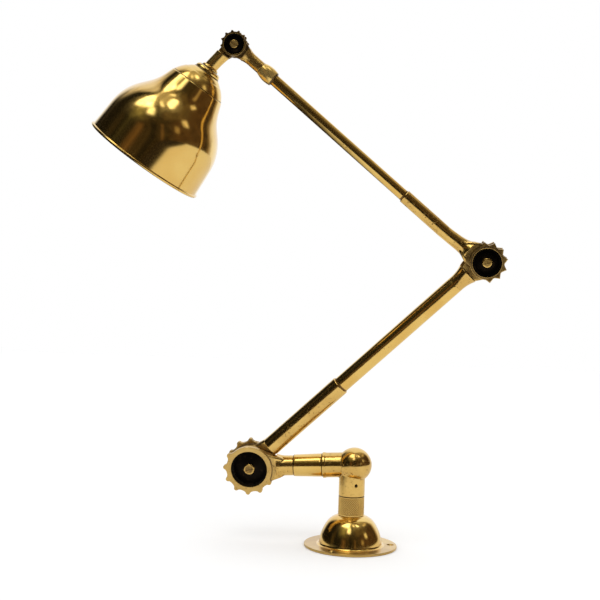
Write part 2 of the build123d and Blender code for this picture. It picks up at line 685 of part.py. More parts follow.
with BuildPart() as head_knuckle:
    bent_neck(head_axis, [(top_start, head_offset - 4.3, head_stem_r + 0.6),
                          (top_start + 5, head_offset - 5.2, head_stem_r + 0.2),
                          (top_start + 11, head_offset - 6.3, head_stem_r), (gallery_top, 0, head_stem_r)])
    bar(head_axis, [(gallery_top, head_spigot_r), (holder_top, head_spigot_r)])
    tongue(head_arm, -1, [(top_cup_r * 0.35, 0, top_root_r * 0.8, top_half * 0.65),
                          (top_root_r, -3.6, top_root_r * 0.62, top_half * 0.65),
                          (top_start + 6, -5.3, head_stem_r * 0.8, top_half * 0.55)])
    knuckle_disc(head_arm, -1, top_tip_r, top_root_r, top_barrel_r, top_cup_r, top_half,
                 top_set_back, top_tooth_width, top_tooth_foot, top_tooth_nose, top_rear_tooth)
    hollow_cup(head_arm, -1, top_cup_r, top_half, top_web, top_bolt_r)
    drill(head_axis, top_start + 6, holder_top, head_bore_r)
    wire_passage(head_arm, (top_cup_r - 2.5, -3.5, -top_wire_z), (top_start + 9, -6.2, 0), top_wire_r)
finish(head_knuckle, "head_knuckle")

# ---------------------------------------------------------------- hardware of the three joints
for joint_name, joint_frame, barrel_r, cup_r, half, web, bolt_r, head_r, head_height in (
        ("lower_joint", arm_plane, lower_barrel_r, lower_cup_r, lower_half, lower_web,
         lower_bolt_r, lower_head_r, lower_head_height),
        ("elbow_joint", elbow_pivot, elbow_barrel_r, elbow_cup_r, elbow_half, elbow_web,
         elbow_bolt_r, elbow_head_r, elbow_head_height),
        ("top_joint", top_pivot, top_barrel_r, top_cup_r, top_half, top_web,
         top_bolt_r, top_head_r, top_head_height)):
    cup_floor = friction_thickness / 2 + web
    rise = half - cup_floor - head_height
    rear_floor = cup_floor + running
    nut_height = bolt_r * nut_height_share
    nut_seat = rear_floor + rise * 0.6
    bolt(f"{joint_name}_bolt", joint_frame, bolt_r, head_r, head_height,
         cup_floor + rise, nut_seat + nut_height + 0.8)
    dish(f"{joint_name}_front_washer", joint_frame, 1, cup_r, cup_floor, bolt_r, rise)
    dish(f"{joint_name}_rear_washer", joint_frame, -1, cup_r, rear_floor, bolt_r, rise * 0.6)
    friction_ring(f"{joint_name}_friction_ring", joint_frame, barrel_r)
    nut(f"{joint_name}_nut", shifted(joint_frame, z=-nut_seat - nut_height),
        bolt_r * 1.75, bolt_r + running, nut_height)

# ---------------------------------------------------------------- gallery cap and shade
with BuildPart() as gallery_cap:
    with BuildSketch(head_axis):
        with BuildLine():
            # a small crown, a rounded step and a dome that widens down to the seam
            foot_r = shade_neck_r - cap_inset
            Polyline((gallery_top, head_spigot_r + running), (gallery_top, crown_r),
                     (gallery_top + crown_edge, crown_edge_r), (gallery_top + step_start, step_start_r))
            ThreePointArc((gallery_top + step_start, step_start_r),
                          (gallery_top + step_middle, step_middle_r), (gallery_top + step_end, step_end_r))
            Line((gallery_top + step_end, step_end_r), (gallery_top + cap_dome, cap_dome_r))
            ThreePointArc((gallery_top + cap_dome, cap_dome_r),
                          (gallery_top + cap_dome_middle, cap_dome_middle_r), (gallery_foot, foot_r))
            # inside, down the axis side of the same corners
            wall = gallery_wall * 0.8
            Polyline((gallery_foot, foot_r), (gallery_foot, foot_r - gallery_wall),
                     (gallery_top + cap_dome_middle + wall, cap_dome_middle_r - wall),
                     (gallery_top + cap_dome + wall, cap_dome_r - wall),
                     (gallery_top + step_end + wall * 0.4, step_end_r - gallery_wall),
                     (gallery_top + step_start + gallery_wall, step_start_r - wall * 0.6),
                     (gallery_top + crown_edge + wall, crown_edge_r - wall * 0.8),
                     (gallery_top + gallery_wall, crown_edge_r - wall * 0.8),
                     (gallery_top + gallery_wall, head_spigot_r + running),
                     (gallery_top, head_spigot_r + running))
        make_face()
    revolve(axis=x_axis(head_axis))
finish(gallery_cap, "gallery_cap")


def shade_line(inset):
    """The bell's profile from the neck to the mouth, moved in by the wall where it is inner."""
    neck = Line((gallery_foot, shade_neck_r - inset), (shade_bend, shade_bend_r - inset))
    turn_out = TangentArc(neck @ 1, (shade_cone, shade_cone_r - inset), tangent=neck % 1)
    cone = Line(turn_out @ 1, (shade_cone_end, shade_cone_end_r - inset))
    bell = TangentArc(cone @ 1, (shade_skirt, shade_skirt_r - inset), tangent=cone % 1)
    Line(bell @ 1, (shade_reach, shade_mouth_r - inset))


with BuildPart() as shade:
    with BuildSketch(head_axis):
        with BuildLine():
            shade_line(0)
            shade_line(shade_wall)
            Line((gallery_foot, shade_neck_r), (gallery_foot, shade_neck_r - shade_wall))
            Line((shade_reach, shade_mouth_r), (shade_reach, shade_mouth_r - shade_wall))
        make_face()
    revolve(axis=x_axis(head_axis))
    # flat top with the fitter hole
    with BuildSketch(across(head_axis, gallery_foot)):
        Circle(shade_neck_r)
        Circle(fitter_r, mode=Mode.SUBTRACT)
    extrude(amount=shade_wall)
    # rolled bead at the mouth
    with BuildSketch(head_axis):
        with Locations((shade_reach - bead_r * 0.5, shade_mouth_r)):
            Circle(bead_r)
    revolve(axis=x_axis(head_axis))
finish(shade, "shade")

# ---------------------------------------------------------------- lampholder
nut("gallery_nut", across(head_axis, gallery_top + gallery_wall), gallery_nut_r,
    head_spigot_r + running, gallery_nut_height)

cap_start = gallery_top + gallery_wall + gallery_nut_height
with BuildPart() as lampholder_cap:
    bar(head_axis, [(cap_start, gallery_nut_r), (cap_start + 4, holder_r - 2.5),
                    (cap_start + 7, holder_r), (holder_top, holder_r)])
    drill(head_axis, cap_start, holder_top, head_spigot_r + running)
    with BuildSketch(across(head_axis, holder_top)):
        Circle(holder_r - 1.4)
    extrude(amount=-4, mode=Mode.SUBTRACT)
finish(lampholder_cap, "lampholder_cap")

with BuildPart() as lampholder_barrel:
    with BuildSketch(across(head_axis, holder_top)):
        Circle(holder_r)
        Circle(block_r, mode=Mode.SUBTRACT)
    extrude(amount=holder_mouth - holder_top)
    drill(head_axis, bore_start, holder_mouth, socket_bore_r)
    with BuildSketch(across(head_axis, gallery_foot - holder_flange_thickness)):
        Circle(holder_flange_r)
        Circle(holder_r - 0.5, mode=Mode.SUBTRACT)
    extrude(amount=holder_flange_thickness)
    # bayonet slots: straight entry, then a short turn
    for slot_turn in (0, 180):
        mouth_plane = Plane(across(head_axis, holder_mouth).location * Location((0, 0, 0), (0, 0, slot_turn)))
        with BuildSketch(mouth_plane):
            with Locations((socket_bore_r + 1.2, 0)):
                Rectangle(4.4, bayonet_width)
        extrude(amount=-bayonet_depth, mode=Mode.SUBTRACT)
        with BuildSketch(mouth_plane.offset(-bayonet_depth)):
            with Locations((socket_bore_r + 1.0, bayonet_width)):
                Rectangle(5.2, bayonet_width * 3)
        extrude(amount=-bayonet_width, mode=Mode.SUBTRACT)
finish(lampholder_barrel, "lampholder_barrel")

with BuildPart() as shade_ring:
    with BuildSketch(across(head_axis, gallery_foot + shade_wall)):
        Circle(ring_r)
        Circle(holder_r + running, mode=Mode.SUBTRACT)
    extrude(amount=ring_height)
    rims = shade_ring.edges().filter_by(GeomType.CIRCLE).filter_by(lambda e: e.radius > holder_r + 1)
    chamfer(rims, 0.8)
finish(shade_ring, "shade_ring")

plunger_seat = block_end - 9.0
with BuildPart() as contact_block:
    with BuildSketch(across(head_axis, holder_top)):
        Circle(block_r)
    extrude(amount=block_end - holder_top)
    with BuildSketch(across(head_axis, block_end)):
        with Locations((0, plunger_spread), (0, -plunger_spread)):
            Circle(plunger_r + running)
    extrude(amount=-(block_end - plunger_seat), mode=Mode.SUBTRACT)
finish(contact_block, "contact_block")

for contact_name, contact_side in (("left", 1), ("right", -1)):
    contact_frame = shifted(head_axis, z=contact_side * plunger_spread)
    with BuildPart() as plunger:
        bar(contact_frame, [(block_end - 3.5, plunger_r), (block_end + plunger_proud - 0.6, plunger_r),
                            (block_end + plunger_proud, plunger_r - 0.6)])
    finish(plunger, f"{contact_name}_plunger")
    with BuildPart() as plunger_spring:
        with BuildSketch(across(contact_frame, plunger_seat)):
            Circle(plunger_r - 0.15)
            Circle(plunger_r - 0.75, mode=Mode.SUBTRACT)
        extrude(amount=block_end - 3.5 - plunger_seat)
    finish(plunger_spring, f"{contact_name}_plunger_spring")

for name, frame in (("lower", arm_plane), ("elbow", elbow_pivot), ("top", top_pivot)):
    place = frame.origin
    print(f"{name} pivot {place.X:.2f} {place.Y:.2f} {place.Z:.2f}  axis "
          f"{frame.z_dir.X:.5f} {frame.z_dir.Y:.5f} {frame.z_dir.Z:.5f}")
rim = shifted(head_axis, shade_reach).origin
print(f"rim centre {rim.X:.2f} {rim.Y:.2f} {rim.Z:.2f}  direction "
      f"{head_axis.x_dir.X:.5f} {head_axis.x_dir.Y:.5f} {head_axis.x_dir.Z:.5f}")
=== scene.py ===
# %% [markdown]
# # A jointed wall lamp in polished brass
# The lamp stands on a domed flange, and two arms carry a bell shade on toothed disc hinges.
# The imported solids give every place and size. This lesson lays finer surfaces over them and
# gives every piece a finish of its own, so nothing here has to be fitted by eye.

# %% load the fixed frame
import json
from math import cos, radians, sin

import bmesh
import bpy
import numpy as np
from mathutils import Matrix

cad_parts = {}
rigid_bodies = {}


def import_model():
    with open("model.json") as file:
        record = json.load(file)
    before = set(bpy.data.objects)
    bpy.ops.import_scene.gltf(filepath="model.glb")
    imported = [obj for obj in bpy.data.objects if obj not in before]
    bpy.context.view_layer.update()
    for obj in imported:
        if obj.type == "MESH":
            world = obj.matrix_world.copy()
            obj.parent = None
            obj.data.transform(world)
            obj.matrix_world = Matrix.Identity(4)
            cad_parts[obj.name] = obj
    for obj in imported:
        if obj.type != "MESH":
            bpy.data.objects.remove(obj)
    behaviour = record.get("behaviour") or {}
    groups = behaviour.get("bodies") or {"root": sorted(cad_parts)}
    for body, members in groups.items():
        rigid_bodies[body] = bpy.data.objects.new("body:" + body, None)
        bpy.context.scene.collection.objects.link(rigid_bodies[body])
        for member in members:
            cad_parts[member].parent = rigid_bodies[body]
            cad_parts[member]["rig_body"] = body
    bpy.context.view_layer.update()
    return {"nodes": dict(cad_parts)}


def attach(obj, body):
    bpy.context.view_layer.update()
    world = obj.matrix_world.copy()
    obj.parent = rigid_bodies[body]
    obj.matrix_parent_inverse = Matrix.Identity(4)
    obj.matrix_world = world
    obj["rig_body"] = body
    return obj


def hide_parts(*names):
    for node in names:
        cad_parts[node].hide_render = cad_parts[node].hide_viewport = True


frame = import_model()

nodes = frame["nodes"]

# %% [markdown]
# ## The camera
# A photograph fixes where its camera stood. The place and the view below came from the pivots,
# the flange and the shade's rim, and a lens of 58.6 mm on a 36 mm film gives the same crossing
# of lines. A shift of half a pixel centres the frame without turning the camera.

# %% camera
def add_object(name, data):
    """A new object in the scene for a mesh, a camera or a light."""
    made = bpy.data.objects.new(name, data)
    bpy.context.scene.collection.objects.link(made)
    return made


camera_place = np.array([0.0822807, -1.1103476, 0.2624801])
camera_right = np.array([0.990953, 0.130995, 0.0291935])
camera_up = np.array([-0.0272744, -0.016421, 0.999493])
camera_view = np.array([-0.131408, 0.991247, 0.0126997])

picture_width = 600
half_pixel = 0.5 / picture_width

lens = bpy.data.cameras.new("camera")
lens.sensor_width = 36.0
lens.lens = 58.59
lens.shift_x, lens.shift_y = -half_pixel, half_pixel
lens.clip_start, lens.clip_end = 0.02, 60.0
camera = add_object("camera", lens)
placed = np.eye(4)
placed[:3] = np.stack([camera_right, camera_up, -camera_view, camera_place], 1)
camera.matrix_world = Matrix(placed.tolist())
bpy.context.scene.camera = camera
print(f"camera {np.linalg.norm(camera_place):.2f} m from the flange's centre")

# %% [markdown]
# ## The lamp's own frames
# Each arm has a frame: X runs out along the arm and Z is the hinge's axis. The frames are
# worked out from the pivots' distances and angles, in millimetres, as 4 by 4 tables of numbers.
# A piece is then described in its own frame, where it is a simple turned shape, and carried
# over with one multiplication.

# %% frames of the stem, the arms and the head
def turn_x(angle):
    """Turn about X: Y goes towards Z."""
    c, s = cos(radians(angle)), sin(radians(angle))
    return np.array([[1, 0, 0, 0], [0, c, -s, 0], [0, s, c, 0], [0, 0, 0, 1.0]])


def turn_z(angle):
    """Turn about Z: X goes towards Y."""
    c, s = cos(radians(angle)), sin(radians(angle))
    return np.array([[c, -s, 0, 0], [s, c, 0, 0], [0, 0, 1, 0], [0, 0, 0, 1.0]])


def move(x=0.0, y=0.0, z=0.0):
    """Shift along a frame's own axes."""
    shifted = np.eye(4)
    shifted[:3, 3] = x, y, z
    return shifted


def about_pivot(pivot):
    """The pivot's frame with its hinge axis as X, so that turned shapes can use it."""
    return pivot[:, [2, 0, 1, 3]]


to_metres, to_mm = 0.001, 1000.0
stem_height, stem_tilt, stem_length, stem_roll = 92.0, 3.5, 117.0, 9.5
lower_angle, lower_length, lower_offset = 40.0, 353.9, 1.6
elbow_angle, elbow_offset = 135.8, 4.0
upper_length, upper_offset, upper_roll = 359.1, 6.0, 4.2
head_angle, head_offset = 129.5, 7.2

tilt_sin, tilt_cos = sin(radians(stem_tilt)), cos(radians(stem_tilt))
stem_frame = np.array([[tilt_cos, -tilt_sin, 0, 0],
                       [0, 0, -1, 0],
                       [tilt_sin, tilt_cos, 0, stem_height],
                       [0, 0, 0, 1.0]])
lower_pivot = stem_frame @ move(-stem_length) @ turn_x(stem_roll)
lower_arm = lower_pivot @ turn_z(lower_angle)
lower_axis = lower_arm @ move(0, lower_offset)
elbow_place = lower_arm @ move(lower_length, lower_offset - elbow_offset)
elbow_pivot = elbow_place @ turn_z(-lower_angle)
elbow_back = elbow_place @ turn_z(180.0)
upper_arm = elbow_pivot @ turn_z(elbow_angle)
upper_axis = upper_arm @ move(0, upper_offset)
top_pivot = upper_axis @ move(upper_length) @ turn_x(upper_roll)
head_arm = top_pivot @ turn_z(-head_angle - elbow_angle)
head_axis = head_arm @ move(0, -head_offset)
column = about_pivot(np.eye(4))
for title, pivot in (("lower", lower_pivot), ("elbow", elbow_pivot), ("top", top_pivot)):
    print(title, "pivot", pivot[:3, 3].round(1).tolist(), "mm")

# %% [markdown]
# ## Turned shapes
# Most of this lamp came off a lathe, so most surfaces are one outline carried round an axis.
# A surface is a grid: one parameter runs along the outline, the other round the axis. Working
# it out as whole arrays keeps thousands of points in three lines, and a fine grid gives the
# unbroken reflections that faceted solids can't.

# %% outlines and surfaces of turning
def rounded(corners, radius, steps=5):
    """A closed outline with eased corners: every corner becomes a short parabola that leaves
    the side before it and joins the side after it, each at the given distance."""
    corners = np.asarray(corners, float)
    before, after = np.roll(corners, 1, 0) - corners, np.roll(corners, -1, 0) - corners
    long_before = np.linalg.norm(before, axis=1, keepdims=True)
    long_after = np.linalg.norm(after, axis=1, keepdims=True)
    ease = np.minimum(np.minimum(radius, long_before * 0.45), long_after * 0.45)
    first = (corners + before / long_before * ease)[:, None]
    last = (corners + after / long_after * ease)[:, None]
    t = np.linspace(0, 1, steps)[None, :, None]
    curve = first * (1 - t) ** 2 + 2 * corners[:, None] * t * (1 - t) + last * t ** 2
    return curve.reshape(-1, 2)


def arc(start, middle, end, steps=16):
    """Points on the circle through three points: the centre solves two linear equations."""
    start, middle, end = (np.asarray(p, float) for p in (start, middle, end))
    centre = np.linalg.solve(2 * np.array([middle - start, end - start]),
                             np.array([middle @ middle - start @ start,
                                       end @ end - start @ start]))
    angles = np.unwrap([np.arctan2(*(p - centre)[::-1]) for p in (start, middle, end)])
    t = np.linspace(angles[0], angles[2], steps)
    radius = np.linalg.norm(start - centre)
    return centre + radius * np.stack([np.cos(t), np.sin(t)], 1)


def tangent_arc(start, direction, end, steps=24):
    """The arc that leaves start along direction and meets end: its centre is on the normal,
    at the chord's square over twice the chord's reach along that normal."""
    start, end = np.asarray(start, float), np.asarray(end, float)
    direction = np.asarray(direction, float) / np.linalg.norm(direction)
    normal = np.array([-direction[1], direction[0]])
    chord = end - start
    centre = start + normal * (chord @ chord) / (2 * (normal @ chord))
    first = np.arctan2(*(start - centre)[::-1])
    last = np.arctan2(*(end - centre)[::-1])
    turn = (last - first + np.pi) % (2 * np.pi) - np.pi
    t = first + turn * np.linspace(0, 1, steps)
    points = centre + np.linalg.norm(start - centre) * np.stack([np.cos(t), np.sin(t)], 1)
    leaving = np.array([-np.sin(t[-1]), np.cos(t[-1])]) * np.sign(turn)
    return points, leaving


sharp_angle = 38


def edit(mesh, change):
    """Open a mesh, let change work on it, and write it back."""
    work = bmesh.new()
    work.from_mesh(mesh)
    change(work)
    work.to_mesh(mesh)
    work.free()


def outwards(work):
    """Merge doubles and turn the faces outwards: inside out, the volume would be negative."""
    bmesh.ops.remove_doubles(work, verts=work.verts, dist=2e-7)
    if work.calc_volume(signed=True) < 0:
        bmesh.ops.reverse_faces(work, faces=work.faces)


def solid(name, points, faces):
    """A mesh object from points in millimetres and the faces between them."""
    mesh = bpy.data.meshes.new(name)
    mesh.from_pydata((np.asarray(points) * to_metres).tolist(), [], np.asarray(faces).tolist())
    edit(mesh, outwards)
    return show(name, mesh)


def show(name, mesh, sharp=sharp_angle):
    """Link a mesh as an object at the origin, smooth except over edges sharper than the angle."""
    mesh.shade_smooth()
    mesh.set_sharp_from_angle(angle=radians(sharp))
    return add_object(name, mesh)


def ring_faces(rows, columns):
    """Quads between neighbours of a grid that closes on itself both ways."""
    u, v = np.meshgrid(np.arange(rows), np.arange(columns), indexing="ij")
    u2, v2 = (u + 1) % rows, (v + 1) % columns
    return np.stack([u * columns + v, u * columns + v2, u2 * columns + v2, u2 * columns + v],
                    -1).reshape(-1, 4)


def carried(frame_table, local):
    """Local points in a frame, as points of the lamp: turn, then shift."""
    return local @ frame_table[:3, :3].T + frame_table[:3, 3]


def block(name, low, high, frame_table=None):
    """A box from its low corner to its high one, along the lamp's axes or a frame's."""
    corners = np.array([(x, y, z) for x in (low[0], high[0]) for y in (low[1], high[1])
                        for z in (low[2], high[2])])
    faces = np.array([(0, 1, 3, 2), (4, 6, 7, 5), (0, 4, 5, 1),
                      (2, 3, 7, 6), (0, 2, 6, 4), (1, 5, 7, 3)])
    return solid(name, corners if frame_table is None else carried(frame_table, corners), faces)


def turned(name, frame_table, outline, turns=96, ripple=None):
    """A closed outline of (along, radius) carried round the frame's X axis. A ripple is a
    function of along, angle and radius whose result is added to the radius."""
    outline = np.asarray(outline, float)
    angle = np.linspace(0, 2 * np.pi, turns, endpoint=False)[None]
    along = outline[:, :1] + 0 * angle
    radius = outline[:, 1:] + 0 * angle
    if ripple is not None:
        radius = radius + ripple(along, angle, radius)
    local = np.stack([along, radius * np.cos(angle), radius * np.sin(angle)], -1)
    return solid(name, carried(frame_table, local.reshape(-1, 3)),
                 ring_faces(len(outline), turns))


def wear(piece, finish):
    """Give the piece this finish and no other."""
    piece.data.materials.clear()
    piece.data.materials.append(finish)


def dress(piece, node, finish):
    """Put the piece on the body of the solid it stands for, in its finish."""
    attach(piece, nodes[node]["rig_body"])
    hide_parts(node)
    wear(piece, finish)
    print(f"{piece.name}: {len(piece.data.polygons)} faces")


# %% [markdown]
# ## Cast shapes
# The knuckles are castings: a toothed disc, a cup and a neck that flow into each other. The
# solids have the right size but hard creases. A copy is laid along its own frame, rebuilt on a
# fine grid of cells and smoothed a little with a pull that keeps its volume, which eases every
# edge as fettling and buffing do. Each point also keeps how far it stands out from its
# neighbours, and the finish uses that for bright edges and dirty corners.

# %% recast copies of the solids
def read(rows, key, width, kind=np.float32):
    """One value of width numbers for each vertex or edge, read in one go."""
    values = np.empty(len(rows) * width, kind)
    rows.foreach_get(key, values)
    return values.reshape(-1, width)


def write_places(mesh, points):
    """Put points, in metres, in the place of the mesh's own."""
    mesh.vertices.foreach_set("co", points.astype(np.float32).ravel())
    mesh.update()


def as_modified(piece):
    """What the piece's modifiers make of it, as a mesh of its own."""
    bpy.context.view_layer.update()
    return bpy.data.meshes.new_from_object(
        piece.evaluated_get(bpy.context.evaluated_depsgraph_get()))


def merged_copy(node, name):
    """The solid's mesh with its loose triangles joined at their corners."""
    mesh = nodes[node].data.copy()
    mesh.name = name
    mesh.materials.clear()
    edit(mesh, lambda work: bmesh.ops.remove_doubles(work, verts=work.verts, dist=1e-6))
    if "custom_normal" in mesh.attributes:
        mesh.attributes.remove(mesh.attributes["custom_normal"])
    return mesh


def neighbour_mean(values, edges):
    """The mean of each point's neighbours, summed over the edges in both directions."""
    total = np.zeros_like(values)
    np.add.at(total, edges[:, 0], values[edges[:, 1]])
    np.add.at(total, edges[:, 1], values[edges[:, 0]])
    return total / np.bincount(edges.ravel(), minlength=len(values)).clip(1)[:, None]


def eased_points(points, edges, passes, pull, push, share=1.0):
    """Each pass pulls every point towards its neighbours' mean, and then pushes it back by
    slightly more, which keeps the volume."""
    for _ in range(passes):
        points = points + pull * share * (neighbour_mean(points, edges) - points)
        points = points - push * share * (neighbour_mean(points, edges) - points)
    return points


def recast(node, name, frame_table, cell, passes=2, neck=None):
    """Rebuild a solid on cells laid along its frame, then smooth it. neck is (from, to): between
    these distances from the hinge's axis the casting gets many more passes."""
    mesh = merged_copy(node, name)
    local = carried(np.linalg.inv(frame_table), read(mesh.vertices, "co", 3).astype(float) * to_mm)
    write_places(mesh, local * to_metres)
    shell = add_object(name + "_shell", mesh)
    cells = shell.modifiers.new("cells", "REMESH")
    cells.mode = "VOXEL"
    cells.voxel_size = cell * to_metres
    fine = as_modified(shell)
    bpy.data.objects.remove(shell)

    points = read(fine.vertices, "co", 3).astype(float)
    edges = read(fine.edges, "vertices", 2, np.int32)
    points = eased_points(points, edges, passes, pull=0.5, push=0.52)
    if neck:
        fade_in, fade_out = 3.0, 5.0
        reach = np.hypot(points[:, 0], points[:, 1])[:, None] * to_mm
        share = (np.clip((reach - neck[0]) / fade_in, 0, 1)
                 * np.clip((neck[1] - reach) / fade_out, 0, 1))
        points = eased_points(points, edges, 60, pull=0.5, push=0.505, share=share)
    points = points + 0.4 * (neighbour_mean(points, edges) - points)
    write_places(fine, points)

    normal = read(fine.vertices, "normal", 3).astype(float)
    inwards = neighbour_mean(points, edges) - points
    stands_out = -np.einsum("ij,ij->i", inwards, normal)[:, None] / (cell * to_metres)
    for _ in range(3):
        stands_out = neighbour_mean(stands_out, edges)
    attribute = fine.attributes.new("stands_out", "FLOAT", "POINT")
    attribute.data.foreach_set("value", stands_out.astype(np.float32).ravel())
    write_places(fine, carried(frame_table, points * to_mm) * to_metres)
    return show(name, fine, sharp=60)


def eased(node, name, width=0.25, sharp=30):
    """A copy of a small machined solid whose hard edges get a narrow bevel."""
    mesh = merged_copy(node, name)
    flat = radians(0.6)
    edit(mesh, lambda work: bmesh.ops.dissolve_limit(work, angle_limit=flat, verts=work.verts,
                                                     edges=work.edges))
    made = show(name, mesh, sharp=sharp)
    bevel = made.modifiers.new("eased", "BEVEL")
    bevel.width = width * to_metres
    bevel.segments = 2
    bevel.limit_method = "ANGLE"
    bevel.angle_limit = radians(sharp)
    bevel.harden_normals = True
    return made


# %% [markdown]
# ## Shader sums
# A finish is arithmetic on numbers that change over the surface: how deep into a cup a point
# lies, how spotted the metal is there. One small class lets that arithmetic be written as
# Python sums, and each sum adds the node that works it out. Any other node comes from one call.

# %% a socket that can be added, subtracted and multiplied
class Value:
    """A shader socket that carries one number for each point of the surface."""

    def __init__(self, finish, socket):
        self.finish, self.socket = finish, socket

    def __add__(self, other): return self.finish.sum("ADD", self, other)
    def __radd__(self, other): return self.finish.sum("ADD", other, self)
    def __sub__(self, other): return self.finish.sum("SUBTRACT", self, other)
    def __rsub__(self, other): return self.finish.sum("SUBTRACT", other, self)
    def __mul__(self, other): return self.finish.sum("MULTIPLY", self, other)
    def __rmul__(self, other): return self.finish.sum("MULTIPLY", other, self)


class Finish:
    """A material, and the few kinds of node that this lamp's finishes are made of."""

    def __init__(self, name, tree=None):
        self.material = None
        if tree is None:
            self.material = bpy.data.materials.new(name)
            self.material.use_nodes = True
            tree = self.material.node_tree
            tree.nodes.clear()
        self.tree = tree

    def node(self, kind, settings, sockets, output=0):
        """One node: its settings first, then its sockets' values or links."""
        made = self.tree.nodes.new(kind)
        for key, value in settings.items():
            setattr(made, key, value)
        for key, value in sockets.items():
            if isinstance(value, Value):
                self.tree.links.new(value.socket, made.inputs[key])
            else:
                made.inputs[key].default_value = value
        return Value(self, made.outputs[output]) if len(made.outputs) else made

    def sum(self, operation, first, second=0.0):
        """One Math node."""
        return self.node("ShaderNodeMath", {"operation": operation}, {0: first, 1: second})

    def place(self):
        """Where the point is, in metres, the same on every piece."""
        return self.node("ShaderNodeTexCoord", {}, {}, "Object")

    def shifted(self, vector, location):
        """A place counted from another origin, so that no two finishes share their spots."""
        return self.node("ShaderNodeMapping", {"vector_type": "POINT"}, {0: vector, 1: location})

    def noise(self, vector, scale, detail=2.0, roughness=0.5):
        """Soft random clouds between 0 and 1."""
        return self.node("ShaderNodeTexNoise", {}, {"Vector": vector, "Scale": scale,
                                                    "Detail": detail, "Roughness": roughness})

    def step(self, value, low, high):
        """0 below low, 1 above high, and a smooth rise between; low may be the larger."""
        return self.node("ShaderNodeMapRange", {"interpolation_type": "SMOOTHSTEP"},
                         {"Value": value, "From Min": low, "From Max": high})

    def between(self, value, low, high, soft):
        """1 between low and high and 0 outside, with edges that reach soft to both sides."""
        return (self.step(value, low - soft, low + soft)
                * self.step(value, high + soft, high - soft))

    def part(self, vector, letter):
        """One number of a vector: its X, Y or Z."""
        return self.node("ShaderNodeSeparateXYZ", {}, {0: vector}, letter)

    def ray(self, kind):
        """1 for rays of one kind, such as those that a mirror sends out."""
        return self.node("ShaderNodeLightPath", {}, {}, kind)

    def mix(self, share, first, second, blend="MIX"):
        """Share of the second colour over the first."""
        return self.node("ShaderNodeMix", {"data_type": "RGBA", "blend_type": blend},
                         {0: share, 6: first, 7: second}, 2)

    def vector(self, operation, first, second=None, output=0):
        """One Vector Math node; its output 1 is a plain number."""
        sockets = {0: first} if second is None else {0: first, 1: second}
        return self.node("ShaderNodeVectorMath", {"operation": operation}, sockets, output)

    def about(self, frame_table):
        """How far along a frame's X axis a point lies, and how far from that axis, both in mm."""
        away = self.vector("SUBTRACT", self.place(), tuple(frame_table[:3, 3] * to_metres))
        axis = tuple(frame_table[:3, 0])
        along = self.vector("DOT_PRODUCT", away, axis, 1)
        across = self.vector("CROSS_PRODUCT", away, axis)
        radius = self.vector("LENGTH", across, None, 1)
        return along * to_mm, radius * to_mm

    def bump(self, height, depth, under=None):
        """Dents from a height between 0 and 1; depth is the full height in metres."""
        sockets = {"Strength": 1.0, "Distance": depth, "Height": height}
        if under is not None:
            sockets["Normal"] = under
        return self.node("ShaderNodeBump", {}, sockets)

    def metal(self, colour, roughness, normal, metallic=1.0, coat=0.0, coat_roughness=0.1):
        """The shader and the output. Numbers that don't vary go straight on the shader."""
        shader = self.node("ShaderNodeBsdfPrincipled", {}, {
            "Base Color": colour, "Roughness": roughness, "Metallic": metallic,
            "Normal": normal, "Coat Weight": coat, "Coat Roughness": coat_roughness})
        self.node("ShaderNodeOutputMaterial", {}, {"Surface": shader})
        return self.material


def paint(red, green, blue):
    """A colour for a shader socket, in linear light."""
    return (red, green, blue, 1.0)


# %% [markdown]
# ## Polished brass
# Brass is yellow because it swallows blue light. Polished by hand it is a mirror with a slow
# waviness, hair-fine lines left by the mop, brown freckles where lacquer let air in, and a
# slightly redder tone where it has tarnished. All of it is noise at the right sizes: waves over
# centimetres, freckles over a millimetre or two, lines far finer than either.

# %% the finish of polished and turned brass
brass_light = paint(0.86, 0.60, 0.19)
brass_deep = paint(0.74, 0.44, 0.10)
tarnish = paint(0.16, 0.075, 0.022)
# Grime brown for seams and corners, also mixed in as painted shade on the hinges' disc faces.
grime_and_shade = paint(0.058, 0.030, 0.015)
old_polish = paint(0.20, 0.10, 0.03)
dull_haze = paint(0.50, 0.32, 0.12)


